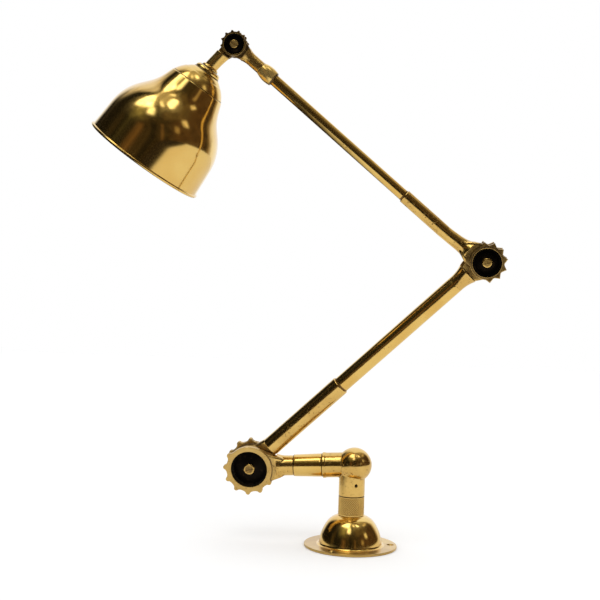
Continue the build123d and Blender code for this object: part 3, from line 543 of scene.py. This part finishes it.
def polished_brass(name, axis, roughness=0.11, wave=0.00025, freckles=0.5, lines=0.5, seed=0.0,
                   dirt_below=None, haze_beyond=None, seams=(), lacquer=0.35, satin=1.0):
    """Turned and polished: fine rings follow the axis, and their depth and shine drift. Dirt
    fills what lies deeper than one radius, a haze dulls what lies beyond another, and a thin
    brown line stays at each seam, given as how far along the axis it lies. lacquer is the clear
    coat's weight, and satin is how metallic the brass is: less than 1 takes off its mirror."""
    f = Finish(name)
    along, radius = f.about(axis)
    spot_place = f.shifted(f.place(), (seed, seed * 0.7, 0))
    drift = f.noise(spot_place, 22.0, 3.0)
    colour = f.mix(f.step(drift, 0.35, 0.7) * 0.55, brass_light, brass_deep)
    fine = f.noise(spot_place, 420.0, 2.0, 0.6)
    patch = f.step(f.noise(spot_place, 38.0, 2.0), 0.48, 0.68)
    spots = f.step(fine, 0.70, 0.76) * patch * freckles
    colour = f.mix(spots, colour, tarnish)
    shine_more = 0.0
    if dirt_below is not None:
        deep = f.step(radius, dirt_below + 0.12, dirt_below - 0.12)
        colour = f.mix(deep * 0.9, colour, old_polish)
    if haze_beyond is not None:
        hazed = f.step(radius, haze_beyond - 1.0, haze_beyond + 1.0)
        colour = f.mix(hazed * f.step(drift, 0.1, 0.7) * 0.8, colour, dull_haze)
        shine_more = hazed * 0.22
    for seam in seams:
        line = f.between(along, seam - 0.6, seam + 0.6, 0.25)
        colour = f.mix(line * 0.9, colour, grime_and_shade)
        shine_more = shine_more + line * 0.3
    rings_per_mm = 2.2
    ring_place = f.node("ShaderNodeCombineXYZ", {},
                        {0: along * rings_per_mm + radius * rings_per_mm, 1: seed, 2: 0.0})
    rings = f.noise(ring_place, 1.0, 3.0, 0.7)
    shine = roughness + rings * 0.05 * lines + drift * 0.05 + spots * 0.4 + shine_more
    wavy = f.bump(f.noise(spot_place, 46.0, 1.5), wave)
    ringed = f.bump(rings, 0.000006 * lines, wavy)
    return f.metal(colour, shine, ringed, satin, lacquer, 0.05)


def drawn_tube(name, axis, roughness=0.13, freckles=0.8, seed=0.0, seams=()):
    """Drawn and hand polished: the marks run along the tube, because their noise changes fast
    round it and slowly along it. Brown is left at the seams, given as in polished_brass."""
    f = Finish(name)
    along, _ = f.about(axis)
    place = f.shifted(f.place(), (seed, 0, seed))
    drift = f.noise(place, 26.0, 3.0)
    colour = f.mix(f.step(drift, 0.35, 0.7) * 0.6, brass_light, brass_deep)
    fine = f.noise(place, 330.0, 3.0, 0.65)
    patch = f.step(f.noise(place, 30.0, 2.0), 0.45, 0.66)
    spots = f.step(fine, 0.61, 0.70) * patch * freckles
    for seam in seams:
        spots = spots + f.between(along, seam - 0.9, seam + 0.9, 0.4) * 0.9
    colour = f.mix(spots, colour, tarnish)
    away = f.vector("SUBTRACT", f.place(), tuple(axis[:3, 3] * to_metres))
    side_y = f.vector("DOT_PRODUCT", away, tuple(axis[:3, 1]), 1)
    side_z = f.vector("DOT_PRODUCT", away, tuple(axis[:3, 2]), 1)
    slow_along, fast_round = 0.04, 3000.0
    mop_place = f.node("ShaderNodeCombineXYZ", {},
                       {0: along * slow_along, 1: side_y * fast_round, 2: side_z * fast_round})
    mop = f.noise(mop_place, 1.0, 2.0, 0.6)
    shine = roughness + mop * 0.04 + drift * 0.05 + spots * 0.4
    wavy = f.bump(f.noise(place, 55.0, 1.5), 0.00026)
    marked = f.bump(mop, 0.0000004, wavy)
    return f.metal(colour, shine, marked, 1.0, 0.3, 0.05)


# %% [markdown]
# ## Cast brass
# The castings were never as smooth as the tubes. Sand left shallow pits, the buff reached the
# edges but not the corners, and old polish dried brown between the teeth. The cups were
# blackened and stayed black, because no buff fits inside them. A joint's own axis tells the
# shader which points lie inside a cup.

# %% the finish of the castings
cast_light = paint(0.82, 0.56, 0.18)
cast_deep = paint(0.62, 0.38, 0.105)
cup_black = paint(0.010, 0.008, 0.006)


def cast_brass(name, joint=None, cup=None, face_dark_and_shade=0.0, disc_r=0.0, roughness=0.20, seed=0.0,
               seams=None, satin=0.0):
    """Cast and buffed. cup is (radius, floor, side) of the black cup about the joint's Z axis,
    and face_dark_and_shade darkens the disc inside disc_r in mottled patches. On the top hinge this
    is its blackening; on the other discs and the bolt heads it is a painted shade for the dim room
    that they mirror. satin is how much less metallic that disc is, and seams is (frame, places
    along its X axis)."""
    f = Finish(name)
    place = f.shifted(f.place(), (seed, seed, seed))
    drift = f.noise(place, 34.0, 4.0, 0.6)
    colour = f.mix(f.step(drift, 0.35, 0.68) * 0.6, cast_light, cast_deep)
    edge = f.node("ShaderNodeAttribute", {"attribute_name": "stands_out"}, {}, "Fac")
    grain = f.noise(place, 650.0, 3.0, 0.7)
    dirt = f.step(edge + (grain - 0.5) * 0.05, -0.015, -0.07)
    worn = f.step(edge, 0.02, 0.09)
    pits = f.step(f.noise(place, 420.0, 3.0, 0.65), 0.60, 0.69) * f.step(drift, 0.36, 0.56)
    colour = f.mix(pits * 0.8, colour, tarnish)
    colour = f.mix(dirt * 0.85, colour, grime_and_shade)
    shine = roughness + drift * 0.06 + pits * 0.3 + dirt * 0.35
    metallic = 1.0 - dirt * 0.5
    if joint is not None:
        along, radius = f.about(about_pivot(joint))
        # Inside disc_r the face is darkened towards grime brown. On the smallest hinge this is its
        # blackening; elsewhere it is a painted shade standing for the dim room in the polish.
        if face_dark_and_shade:
            on_disc = f.step(radius, disc_r + 1.5, disc_r - 0.5)
            face_mottle = f.step(f.noise(place, 90.0, 4.0, 0.7), 0.25, 0.75)
            toned = on_disc * (face_dark_and_shade * (0.55 + 0.45 * face_mottle))
            colour = f.mix(toned, colour, grime_and_shade)
            metallic = metallic - on_disc * satin
            shine = shine + on_disc * 0.22
        if cup:
            cup_r, floor, side = cup
            inside = (f.step(radius, cup_r + 0.35, cup_r - 0.05)
                      * f.step(along * side, floor - 1.2, floor - 0.4))
            colour = f.mix(inside * 0.97, colour, cup_black)
            shine = shine + inside * 0.25
    colour = f.mix(worn * 0.55, colour, cast_light)
    if seams:
        past, _ = f.about(seams[0])
        for seam in seams[1]:
            line = f.between(past, seam - 0.7, seam + 0.7, 0.3)
            colour = f.mix(line * 0.9, colour, grime_and_shade)
            shine = shine + line * 0.3
    pitted = f.bump(1.0 - pits, 0.00008)
    wavy = f.bump(f.noise(place, 60.0, 1.0), 0.00022, pitted)
    return f.metal(colour, shine, wavy, metallic, 0.25, 0.06)


def blackened(name):
    """Blackened steel that shows a little grey where something rubbed it."""
    f = Finish(name)
    place = f.place()
    rub = f.step(f.noise(place, 130.0, 4.0, 0.65), 0.52, 0.75)
    colour = f.mix(rub * 0.6, paint(0.0070, 0.0048, 0.0034), paint(0.050, 0.032, 0.016))
    grain = f.noise(place, 900.0, 2.0)
    return f.metal(colour, 0.42 + rub * -0.1 + grain * 0.12, f.bump(grain, 0.00001), 0.92)


def plain_steel(name):
    """Turned steel, dulled by handling."""
    f = Finish(name)
    place = f.place()
    haze = f.noise(place, 120.0, 4.0, 0.6)
    colour = f.mix(f.step(haze, 0.4, 0.75), paint(0.52, 0.50, 0.47), paint(0.30, 0.27, 0.23))
    return f.metal(colour, 0.26 + haze * 0.18, f.bump(f.noise(place, 700.0, 2.0), 0.00003))


def pressed_fibre(name, colour_low, colour_high, roughness):
    """A pressed or moulded body: mottled, hardly shiny, with a fine grain."""
    f = Finish(name)
    place = f.place()
    mottle = f.noise(place, 260.0, 5.0, 0.7)
    colour = f.mix(f.step(mottle, 0.3, 0.7), colour_low, colour_high)
    return f.metal(colour, roughness + mottle * 0.12, f.bump(mottle, 0.00008), 0.0)


steel = plain_steel("plain_steel")
black_steel = blackened("blackened_steel")
fibre = pressed_fibre("friction_fibre", paint(0.10, 0.06, 0.035), paint(0.17, 0.11, 0.07), 0.72)
moulded = pressed_fibre("moulded_insulator", paint(0.020, 0.012, 0.009),
                        paint(0.038, 0.022, 0.016), 0.38)
print(f"{len(bpy.data.materials)} finishes that several pieces share")

# %% [markdown]
# ## The domed flange
# The base was spun or turned in one piece with its dome: a thin screw flange, a small fillet,
# a shoulder that rises and closes in, and a flat top for the collar. It is one outline carried
# round the column. The three countersunk screw holes are cut afterwards with small cones.

# %% flange and dome
flange_r, flange_top, dome_top, ceiling, hollow_r, bore_r = 52.5, 2.5, 35.0, 30.5, 32.5, 7.55
bend, inner_bend = (27.2, 26.6), (24.6, 24.4)
foot_arc, leaving = tangent_arc((35.45, 5.3), (-0.13, 1), bend)
shoulder_arc, _ = tangent_arc(bend, leaving, (16.2, 34.6))
hollow_arc, leaving = tangent_arc((hollow_r, 7.0), (0, 1), inner_bend)
ceiling_arc, _ = tangent_arc(inner_bend, leaving, (15.0, ceiling))
fillet = arc((38.0, flange_top), (36.3, 3.2), (35.5, 5.0), 8)
rim_edge = arc((flange_r, 1.9), (52.32, 2.32), (51.9, flange_top), 5)
screw_land = np.linspace((50.0, flange_top), (39.5, flange_top), 6)
dome_outline = np.vstack([
    [[52.0, 0.0], [flange_r, 0.5]], rim_edge, screw_land, fillet, foot_arc, shoulder_arc[1:],
    [[15.9, 34.9], [15.4, dome_top], [bore_r, dome_top], [bore_r, ceiling]],
    ceiling_arc[::-1], hollow_arc[::-1][1:], [[hollow_r, 0.0]]])[:, ::-1]
domed_flange = turned("domed_flange", column, dome_outline, 256)


def cut(piece, cutters):
    """Take the cutters' shapes out of the piece, keep the result as its mesh, drop the cutters."""
    for cutter in cutters:
        boolean = piece.modifiers.new(cutter.name, "BOOLEAN")
        boolean.operation, boolean.solver, boolean.object = "DIFFERENCE", "EXACT", cutter
    made = as_modified(piece)
    piece.modifiers.clear()
    piece.data = made
    made.shade_smooth()
    made.set_sharp_from_angle(angle=radians(sharp_angle))
    for cutter in cutters:
        bpy.data.objects.remove(cutter)


screw_r, sink_r, screw_circle_r = 2.4, 4.2, 45.5
countersink = rounded([(-1.0, 0.05), (-1.0, screw_r), (0.72, screw_r), (2.52, sink_r),
                       (4.0, sink_r), (4.0, 0.05)], 0.05, 2)
screw_places = [turn_z(angle) @ move(screw_circle_r) for angle in (7.5, 127.5, 247.5)]
cut(domed_flange, [turned(f"countersink_{i}", place @ column, countersink, 40)
                   for i, place in enumerate(screw_places)])
dress(domed_flange, "base_flange",
      polished_brass("flange_brass", column, 0.085, 0.00016, 0.5, 0.5, 0.3, haze_beyond=38.5))

# %% [markdown]
# ## The knurled collar
# A knurl is rolled in by two wheels whose grooves lean opposite ways, so the surface is left
# with pointed diamonds. Two sets of slanting grooves are worked out as distances to the nearest
# groove in the unrolled plane, and the deeper of the two is taken off the radius. Real
# diamonds are modelled here because their glitter can't come from a picture of them.

# %% collar
def knurl(count, pitch, depth, low, high, steepness=2.6, run_out=0.5, bore_side_r=13.0):
    """Ripple that cuts two crossed sets of V grooves between low and high along the axis. From
    a groove, 0, to halfway to the next, 1, its depth falls by steepness times the distance."""
    def ripple(along, angle, radius):
        around, climb = angle * count / (2 * np.pi), along / pitch
        first = np.abs((around + climb) % 1.0 - 0.5) * 2
        second = np.abs((around - climb) % 1.0 - 0.5) * 2
        groove = np.maximum(1 - first * steepness, 1 - second * steepness).clip(0, 1)
        in_length = np.clip(np.minimum(along - low, high - along) / run_out, 0, 1)
        return -depth * groove * in_length * (radius > bore_side_r)
    return ripple


collar_r, collar_edge_r = 14.65, 14.05
collar_rows = np.linspace((35.9, collar_r), (56.3, collar_r), 190)
collar_outline = np.vstack([[[35.0, bore_r], [35.0, collar_edge_r], [35.6, collar_r]],
                            collar_rows,
                            [[56.4, collar_r], [57.0, collar_edge_r], [57.0, bore_r]]])
knurled = turned("diamond_knurled_collar", column, collar_outline, 456,
                 knurl(count=38, pitch=2.6, depth=0.7, low=36.2, high=56.0))
dress(knurled, "knurled_collar",
      polished_brass("collar_brass", column, 0.20, 0.0001, 0.4, 0.2, 1.7, dirt_below=14.3,
                     seams=(56.9,), lacquer=0.1, satin=0.62))

# %% [markdown]
# ## The column's elbow
# One casting holds the leg, a ball at the corner and a short level socket with a raised lip.
# It is recast from its solid so that the ball runs into both arms with a small radius, as the
# fettled casting does.

# %% column elbow and its screws
elbow_ball = recast("elbow_casting", "column_elbow", np.eye(4), 0.42, 4)
dress(elbow_ball, "elbow_casting",
      cast_brass("elbow_brass", roughness=0.12, seed=5.1, seams=(stem_frame, (-67.2,))))
for screw in ("leg_retaining_screw", "socket_retaining_screw"):
    dress(eased(screw, screw + "_head", 0.12), screw, black_steel)

# %% [markdown]
# ## The stem
# A slightly tapered sleeve leaves the socket, and the stem's own casting follows: round where
# it meets the sleeve, then flaring into the front disc of the first hinge. The sleeve is
# turned, so its rings run round the stem, with a thin dark line at each end. A cup is given by
# its radius, its floor's distance from the middle of the hinge, and the side it opens to.

# %% sleeve and stem casting
sleeve_line = np.linspace((-66.4, 12.32), (-34.1, 13.18), 12)
sleeve_outline = np.vstack([[[-67.0, 6.55], [-67.0, 11.7], [-66.7, 12.1]], sleeve_line,
                            [[-33.75, 12.95], [-33.5, 12.6], [-33.5, 6.55]]])
sleeve = turned("tapered_sleeve", stem_frame, sleeve_outline, 144)
dress(sleeve, "taper_sleeve",
      polished_brass("sleeve_brass", stem_frame, 0.11, 0.0002, 0.5, 0.4, 2.2, seams=(-66.6, -33.9)))
front, rear = 1, -1
lower_cup, elbow_cup, top_cup = (20.8, 5.25), (15.6, 4.75), (11.1, 3.75)
lower_neck, elbow_neck = (29.0, 47.0), (22.0, 42.0)


def knuckle(node, name, frame_table, cell, neck, cup, tone, disc_r, roughness, seed, satin=0.0):
    """Recast a casting of a hinge along its frame, and dress it in a cast brass of its own."""
    dress(recast(node, f"{name}_casting", frame_table, cell, neck=neck), node,
          cast_brass(f"{name}_brass", frame_table, cup, tone, disc_r, roughness, seed, None, satin))


# The number after each cup darkens that disc's face. On the smallest hinge it is the blackening; on
# the other discs it is a painted shade, light on the stem's disc and darkest on the elbow's front
# disc.
knuckle("stem_knuckle", "stem", lower_pivot, 0.40, lower_neck, (*lower_cup, front),
        0.26, 30.0, 0.16, 1.3, 0.22)

# %% [markdown]
# ## The two arms
# Each arm is a drawn tube held in long cast sleeves. The step down from sleeve to tube is the
# only break in its length, and it shows as a dark line in the polish. Both ends of the lower
# arm carry the rear discs of their hinges, and the upper arm starts with a front disc.

# %% lower arm
knuckle("lower_arm_knuckle", "lower_arm", lower_arm, 0.53, lower_neck, (*lower_cup, rear),
        0.55, 30.0, 0.12, 7.7)
lower_rows = np.linspace((123.0, 9.26), (312.0, 9.28), 92)
lower_outline = np.vstack([[[122.5, 7.85], [122.5, 9.1]], lower_rows,
                           [[312.3, 9.2], [312.3, 7.85]]])
lower_tube = turned("lower_tube", lower_axis, lower_outline, 96)
dress(lower_tube, "lower_arm_tube",
      drawn_tube("lower_tube_brass", lower_axis, 0.11, 0.8, 4.4, (143.2,)))
knuckle("elbow_rear_knuckle", "elbow_rear", elbow_back, 0.36, elbow_neck, (*elbow_cup, rear),
        0.6, 22.4, 0.12, 9.4)

# %% upper arm
knuckle("elbow_front_knuckle", "elbow_front", upper_arm, 0.41, elbow_neck, (*elbow_cup, front),
        0.92, 22.4, 0.12, 11.9)
tube_r, tube_bore_r, tube_end = 6.2, 4.8, 308.05
upper_rows = np.linspace((94.5, tube_r), (307.7, tube_r), 100)
upper_outline = np.vstack([[[94.0, tube_bore_r], [94.0, 6.05]], upper_rows,
                           [[tube_end, 6.05], [tube_end, tube_bore_r]]])
upper_tube = turned("upper_tube", upper_axis, upper_outline, 80)
dress(upper_tube, "upper_arm_tube",
      drawn_tube("upper_tube_brass", upper_axis, 0.11, 0.7, 6.2, (114.6, 302.2)))
barrel = arc((302.8, 7.85), (311.75, 8.9), (320.8, 6.95), 24)
ferrule_outline = np.vstack([[[302.5, tube_r], [302.5, 7.55]], barrel,
                             [[321.0, 6.7], [321.0, 4.45], [tube_end, 4.45], [tube_end, tube_r]]])
ferrule = turned("barrel_ferrule", upper_axis, ferrule_outline, 96)
dress(ferrule, "ferrule",
      polished_brass("ferrule_brass", upper_axis, 0.16, 0.00015, 0.4, 0.5, 8.8,
                     seams=(303.0, 320.9), satin=0.85))

# %% [markdown]
# ## The top joint
# The smallest hinge is blackened all over and only its neck is bright. The front disc belongs
# to a stem that turns in the ferrule, and the rear disc carries the shade.

# %% top castings
knuckle("top_arm_knuckle", "top_front", top_pivot @ turn_z(180.0), 0.28, (14.4, 27.0),
        (*top_cup, front), 0.99, 16.5, 0.24, 2.9)
knuckle("head_knuckle", "top_rear", head_arm, 0.30, (14.4, 30.0), (*top_cup, rear),
        0.97, 16.0, 0.22, 5.9)

# %% [markdown]
# ## Hinge hardware
# Every hinge has the same set: a slotted bolt, a dished washer in each cup, a friction ring
# between the discs and a nut behind. The bolts and washers are outlines turned about the
# hinge's axis, and a thin block cuts the slot across the bolt's head. The nuts keep their
# solids, with narrow bevels that catch the light.

# %% bolts, washers and nuts
def dished(name, pivot, side, cup_r, floor, bolt_r, rise):
    """A dished washer: flat rim on the cup's floor, a cone, and a flat seat round the bolt."""
    rim, seat, hole = cup_r - 1.0, bolt_r + 3.0, bolt_r + 0.05
    top = floor + rise
    outline = np.array([(floor, rim), (floor + 1, rim), (floor + 1, rim - 1.5), (top, seat),
                        (top, hole), (top - 1, hole), (top - 1, seat),
                        (floor, rim - 1.5)]) * (side, 1)
    return turned(name, about_pivot(pivot), rounded(outline, 0.3, 4), 96)


slot_half, slot_depth, slot_turn = 0.8, 1.2, 12.0
# tone darkens each bolt head's face inside tone_r: a painted shade with some grime.
for hinge, pivot, (cup_r, floor), half, bolt_r, head_r, head_height, tone, tone_r, satin in (
        ("lower", lower_pivot, lower_cup, 14.0, 4.0, 6.2, 3.6, 0.85, 4.2, 0.0),
        ("elbow", elbow_pivot, elbow_cup, 13.0, 3.2, 5.3, 3.2, 0.60, 3.0, 0.0),
        ("top", top_pivot, top_cup, 8.5, 2.5, 4.6, 2.6, 0.50, 3.6, 0.15)):
    joint, seat = f"{hinge}_joint", half - head_height
    rise = seat - floor
    rear_floor, rear_rise = floor + 0.05, rise * 0.6
    dress(dished(f"{joint}_front_dish", pivot, front, cup_r, floor, bolt_r, rise),
          f"{joint}_front_washer", black_steel)
    dress(dished(f"{joint}_rear_dish", pivot, rear, cup_r, rear_floor, bolt_r, rear_rise),
          f"{joint}_rear_washer", black_steel)
    tail = rear_floor + rear_rise + bolt_r * 1.6 + 0.8
    crown = arc((half - 1.1, head_r), (half - 0.35, head_r - 0.5), (half - 0.1, head_r - 1.4), 7)
    face = np.linspace((half - 0.1, head_r - 1.4), (half, 0.02), 6)
    bolt_outline = np.vstack([[[-tail, 0.02], [-tail, bolt_r - 0.5], [-tail + 0.5, bolt_r],
                               [seat, bolt_r], [seat, head_r - 0.25], [seat + 0.25, head_r]],
                              crown, face])
    bolt = turned(f"{joint}_slotted_bolt", about_pivot(pivot), bolt_outline, 72)
    cut(bolt, [block(f"{joint}_slot", (-head_r - 1, -slot_half, half - slot_depth),
                     (head_r + 1, slot_half, half + 1), pivot @ turn_z(slot_turn))])
    dress(bolt, f"{joint}_bolt",
          cast_brass(f"{hinge}_bolt_brass", pivot, None, tone, tone_r, 0.16, 3.0, None, satin))
    dress(eased(f"{joint}_nut", f"{joint}_hexagon_nut", 0.25), f"{joint}_nut", steel)

# %% [markdown]
# ## The bell shade
# The shade was spun from sheet over a wooden former. Its line leaves the neck as a cone, turns
# out, swells into the bell and runs nearly straight to a rolled bead. The outline is drawn once
# as arcs that leave each other without a kink, resampled evenly and smoothed a touch, then set
# in by the wall's thickness for the inside, so the sheet is equally thick all over.

# %% shade
def even(line, spacing):
    """Resample a line at even steps along its length."""
    along = np.r_[0, np.cumsum(np.linalg.norm(np.diff(line, axis=0), axis=1))]
    t = np.linspace(0, along[-1], int(along[-1] / spacing) + 1)
    return np.stack([np.interp(t, along, line[:, 0]), np.interp(t, along, line[:, 1])], 1)


def smoothed(line, passes):
    """Each inner point moves to the mean of itself and its neighbours, pass after pass."""
    line = line.copy()
    for _ in range(passes):
        line[1:-1] = line[:-2] * 0.25 + line[1:-1] * 0.5 + line[2:] * 0.25
    return line


wall, bead_r, bead_along, bead_out = 0.9, 1.7, 158.35, 67.4
neck_end, flank = np.array([70.0, 35.8]), (92.0, 50.6)
neck_line = np.array([(59.0, 31.8), neck_end])
turn_arc, _ = tangent_arc(neck_end, neck_end - neck_line[0], (86.0, 45.4))
bell_arc, _ = tangent_arc(flank, (6.0, 5.2), (126.0, 65.0), 40)
bell = np.vstack([neck_line, turn_arc[1:], [flank], bell_arc[1:], [(157.5, 67.28)]])
bell = smoothed(even(bell, 0.6), 40)
slope = np.gradient(bell, axis=0)
normal = np.stack([slope[:, 1], -slope[:, 0]], 1) / np.linalg.norm(slope, axis=1, keepdims=True)
inner = bell + normal * wall
bead_turn = np.linspace(np.pi * 0.94, -np.pi * 0.94, 24)
bead = np.stack([bead_along + bead_r * np.cos(bead_turn), bead_out + bead_r * np.sin(bead_turn)], 1)
shade_outline = np.vstack([[[59.9, 13.8], [59.0, 13.8], [59.0, 31.4]], bell[1:-1], bead,
                           inner[::-1][1:-2:2], [[59.9, 30.8]]])
shade = turned("bell_shade", head_axis, shade_outline, 272)
dress(shade, "shade",
      polished_brass("shade_brass", head_axis, 0.085, 0.00016, 0.25, 0.5, 0.9, lacquer=0.6))

# %% [markdown]
# ## The gallery cap
# A small stepped cap closes the shade's neck: a crown, a rounded step, a groove and a dome
# that widens down to the seam. The grooves between them are what a turner leaves to hide a
# joint, and they show as dark lines in the polish.

# %% gallery cap
cap_bore_r, ledge_at, ledge_depth = 5.05, 47.6, 0.45
crown_arc = arc((33.8, 6.9), (34.6, 9.0), (36.4, 9.6), 8)
step_arc = arc((37.0, 11.2), (38.6, 13.9), (41.2, 14.6), 10)
cap_arc = arc((42.6, 16.0), (50.0, 24.8), (58.6, 31.0), 40)
ledge = cap_arc[:, 0] < ledge_at
cap_outer = np.vstack([[[33.8, cap_bore_r]], crown_arc, [[36.7, 9.9]], step_arc,
                       [[41.6, 14.75], [42.0, 15.2]], cap_arc[ledge] - (0.0, ledge_depth),
                       cap_arc[~ledge], [[58.85, 30.75], [59.0, 30.7]]])
cap_inner = np.array([(59.0, 29.7), (51.04, 23.76), (43.64, 14.86), (42.2, 13.4), (38.9, 11.8),
                      (37.04, 8.2), (35.1, 8.2), (35.1, cap_bore_r)])
gallery = turned("stepped_gallery", head_axis, np.vstack([cap_outer, cap_inner]), 192)
dress(gallery, "gallery_cap",
      polished_brass("gallery_brass", head_axis, 0.13, 0.00015, 0.4, 0.6, 4.1,
                     seams=(36.75, 41.9, 58.9)))

# %% [markdown]
# ## The lampholder
# Inside the shade sits a brass bayonet holder: a stepped cap, a barrel with two hooked slots, a
# ring that clamps the shade and an insulating block with two sprung contacts. The solids
# already have every slot, so they get eased edges and finishes of their own.

# %% lampholder
holder_brass = polished_brass("holder_brass", head_axis, 0.18, 0.0001, 0.6, 0.8, 7.1)
for node in ("lampholder_cap", "lampholder_barrel", "shade_ring"):
    dress(eased(node, node + "_eased", 0.2), node, holder_brass)
dress(eased("contact_block", "contact_block_moulded", 0.3), "contact_block", moulded)
dress(eased("gallery_nut", "gallery_hexagon_nut", 0.3), "gallery_nut", steel)

# %% [markdown]
# ## Everything else
# The spigots, the lock nut, the friction rings and the contacts' springs keep their solids.
# They hardly show, but someone who takes the lamp apart would see them, so each gets the
# finish of its own metal.

# %% finishes of the solids that stay
inner_brass = cast_brass("inner_brass", roughness=0.24, seed=12.0)
kept = ((steel, ("base_washer", "base_locknut", "left_plunger_spring", "right_plunger_spring")),
        (inner_brass, ("base_spigot", "stem_spigot", "left_plunger", "right_plunger")),
        (fibre, ("lower_joint_friction_ring", "elbow_joint_friction_ring",
                 "top_joint_friction_ring")))
for finish, members in kept:
    for node in members:
        wear(nodes[node], finish)
        print("finish of", node)

# %% [markdown]
# ## Floor and studio
# Polished metal has no look of its own: it shows the room. The lamp stood on a pale table
# before a white backdrop, in a dim room, under soft lights overhead. The table is a large pale
# floor that keeps the shadow. The rest is the world's shader, worked out from the direction
# that a ray leaves in: white for the camera and behind the lamp, dim in front and at the
# sides, with soft patches of light above. Plain even light falls on everything that is matt.

# %% floor
white = paint(1.0, 1.0, 1.0)
table_top = block("table_top", (-2600, -2600, -8.0), (2600, 4200, -0.25))
f = Finish("pale_table")
across, deep, glossy = f.part(f.place(), "X"), f.part(f.place(), "Y"), f.ray("Is Glossy Ray")
on_table = f.step(deep, -1.16, -0.90) * f.step(across, -0.56, -0.30)
grain = f.noise(f.place(), 60.0, 4.0)
seen = f.mix(grain * 0.01, white, paint(0.97, 0.97, 0.97))
near = f.mix(glossy, seen, paint(0.82, 0.78, 0.68))
pale = f.node("ShaderNodeBsdfDiffuse", {}, {"Color": near})
dim = f.node("ShaderNodeBsdfDiffuse", {}, {"Color": paint(0.02, 0.015, 0.012)})
surface = f.node("ShaderNodeMixShader", {}, {0: (1.0 - on_table) * glossy, 1: pale, 2: dim})
f.node("ShaderNodeOutputMaterial", {}, {"Surface": surface})
table_top.data.materials.append(f.material)
print("floor laid")

# %% world
world = bpy.data.worlds.new("studio")
bpy.context.scene.world = world
world.use_nodes = True
world.node_tree.nodes.clear()
w = Finish("studio", world.node_tree)
away = w.place()
east, north, up = (w.part(away, letter) for letter in "XYZ")
to_degrees = 180.0 / np.pi
bearing = w.sum("ARCTAN2", east, 0.0 - north) * to_degrees
height = w.sum("ARCSINE", up) * to_degrees
turned_away = w.sum("ABSOLUTE", bearing)


def panel(east_of, west_of, above, below, soft):
    """A soft-edged window of light: 1 between two bearings and two heights, 0 outside."""
    return w.between(bearing, east_of, west_of, soft) * w.between(height, above, below, soft)


backdrop = w.step(turned_away, 128.0, 152.0)
layers = (
    (panel(42, 116, -30, 40, 14), (0.075, 0.042, 0.018)),  # dim in front and at the sides
    (panel(-27, -15, -30, 22, 5), (0.125, 0.070, 0.027)),
    (panel(0, 11, -30, 26, 5), (0.014, 0.010, 0.005)),
    (panel(-74, -62, -10, 34, 5), (0.045, 0.032, 0.014)),
    (panel(20, 25, -12, 22, 3), (0.15, 0.09, 0.04)),
    (panel(66, 78, 21, 33, 3), (0.95, 0.85, 0.60)),  # small bright patches
    (panel(48, 56, 8, 20, 3), (0.40, 0.30, 0.16)),
    (w.step(bearing, 118.0, 138.0), (0.36, 0.26, 0.14)),  # walls and ceiling
    (w.step(height, 30.0, 80.0) * w.step(bearing, -96.0, -40.0), (0.50, 0.45, 0.31)),
    (panel(-48, -14, 34, 62, 13) * 0.8, (0.36, 0.33, 0.15)),
    (panel(10, 22, 30, 80, 6) * 0.6, (0.05, 0.04, 0.02)),
    (panel(24, 78, 33, 48, 5), (0.11, 0.08, 0.04)),
    (panel(88, 122, 46, 53, 4), (0.75, 0.62, 0.40)),
    (w.step(bearing, -104.0, -134.0) * w.step(height, 30.0, 56.0), (0.80, 0.74, 0.62)),
    (w.step(turned_away, 130.0, 150.0) * w.step(height, 36.0, 60.0), (0.86, 0.83, 0.76)),
    (backdrop, (1.0, 1.0, 1.0)),
    (panel(-60, -2, 56, 84, 6), (3.0, 2.9, 2.4)),  # the soft lights overhead
    (panel(-12, 6, 41, 55, 5), (2.0, 1.95, 1.6)),
    (panel(48, 64, 56, 68, 3), (2.8, 2.7, 2.3)),
    (panel(22, 34, 60, 72, 4), (1.6, 1.5, 1.2)))
dark, dim_brown = paint(0.009, 0.007, 0.004), paint(0.040, 0.027, 0.011)
room = w.mix(w.step(bearing, -44.0, -14.0), dark, dim_brown)
for mask, colour in layers:
    room = w.mix(mask, room, paint(*colour))
print(f"{len(layers)} layers of light and dark")

# %% clutter, and what each kind of ray sees
clutter = w.step(w.noise(away, 7.0, 3.0, 0.6), 0.30, 0.70)
shading = w.mix(clutter, paint(0.62, 0.60, 0.56), paint(1.30, 1.30, 1.30))
room = w.mix(backdrop, w.mix(1.0, room, shading, "MULTIPLY"), white)
shiny = w.sum("MAXIMUM", w.ray("Is Glossy Ray"), w.ray("Is Transmission Ray"))
shown = w.mix(shiny, white, room)
light = w.node("ShaderNodeBackground", {}, {"Color": shown, "Strength": 1.0})
w.node("ShaderNodeOutputWorld", {}, {"Surface": light})
print("studio lit")

# %% soft light overhead
overhead = bpy.data.lights.new("soft_light", "AREA")
overhead.shape, overhead.size, overhead.size_y = "RECTANGLE", 1.4, 1.0
overhead.energy = 5.0
soft_light = add_object("soft_light", overhead)
soft_light.location = (-0.3, -0.9, 2.2)
soft_light.rotation_euler = (radians(22), 0, radians(-10))
soft_light.visible_glossy = False
soft_light.visible_camera = False
bpy.context.scene.view_settings.view_transform = "Standard"
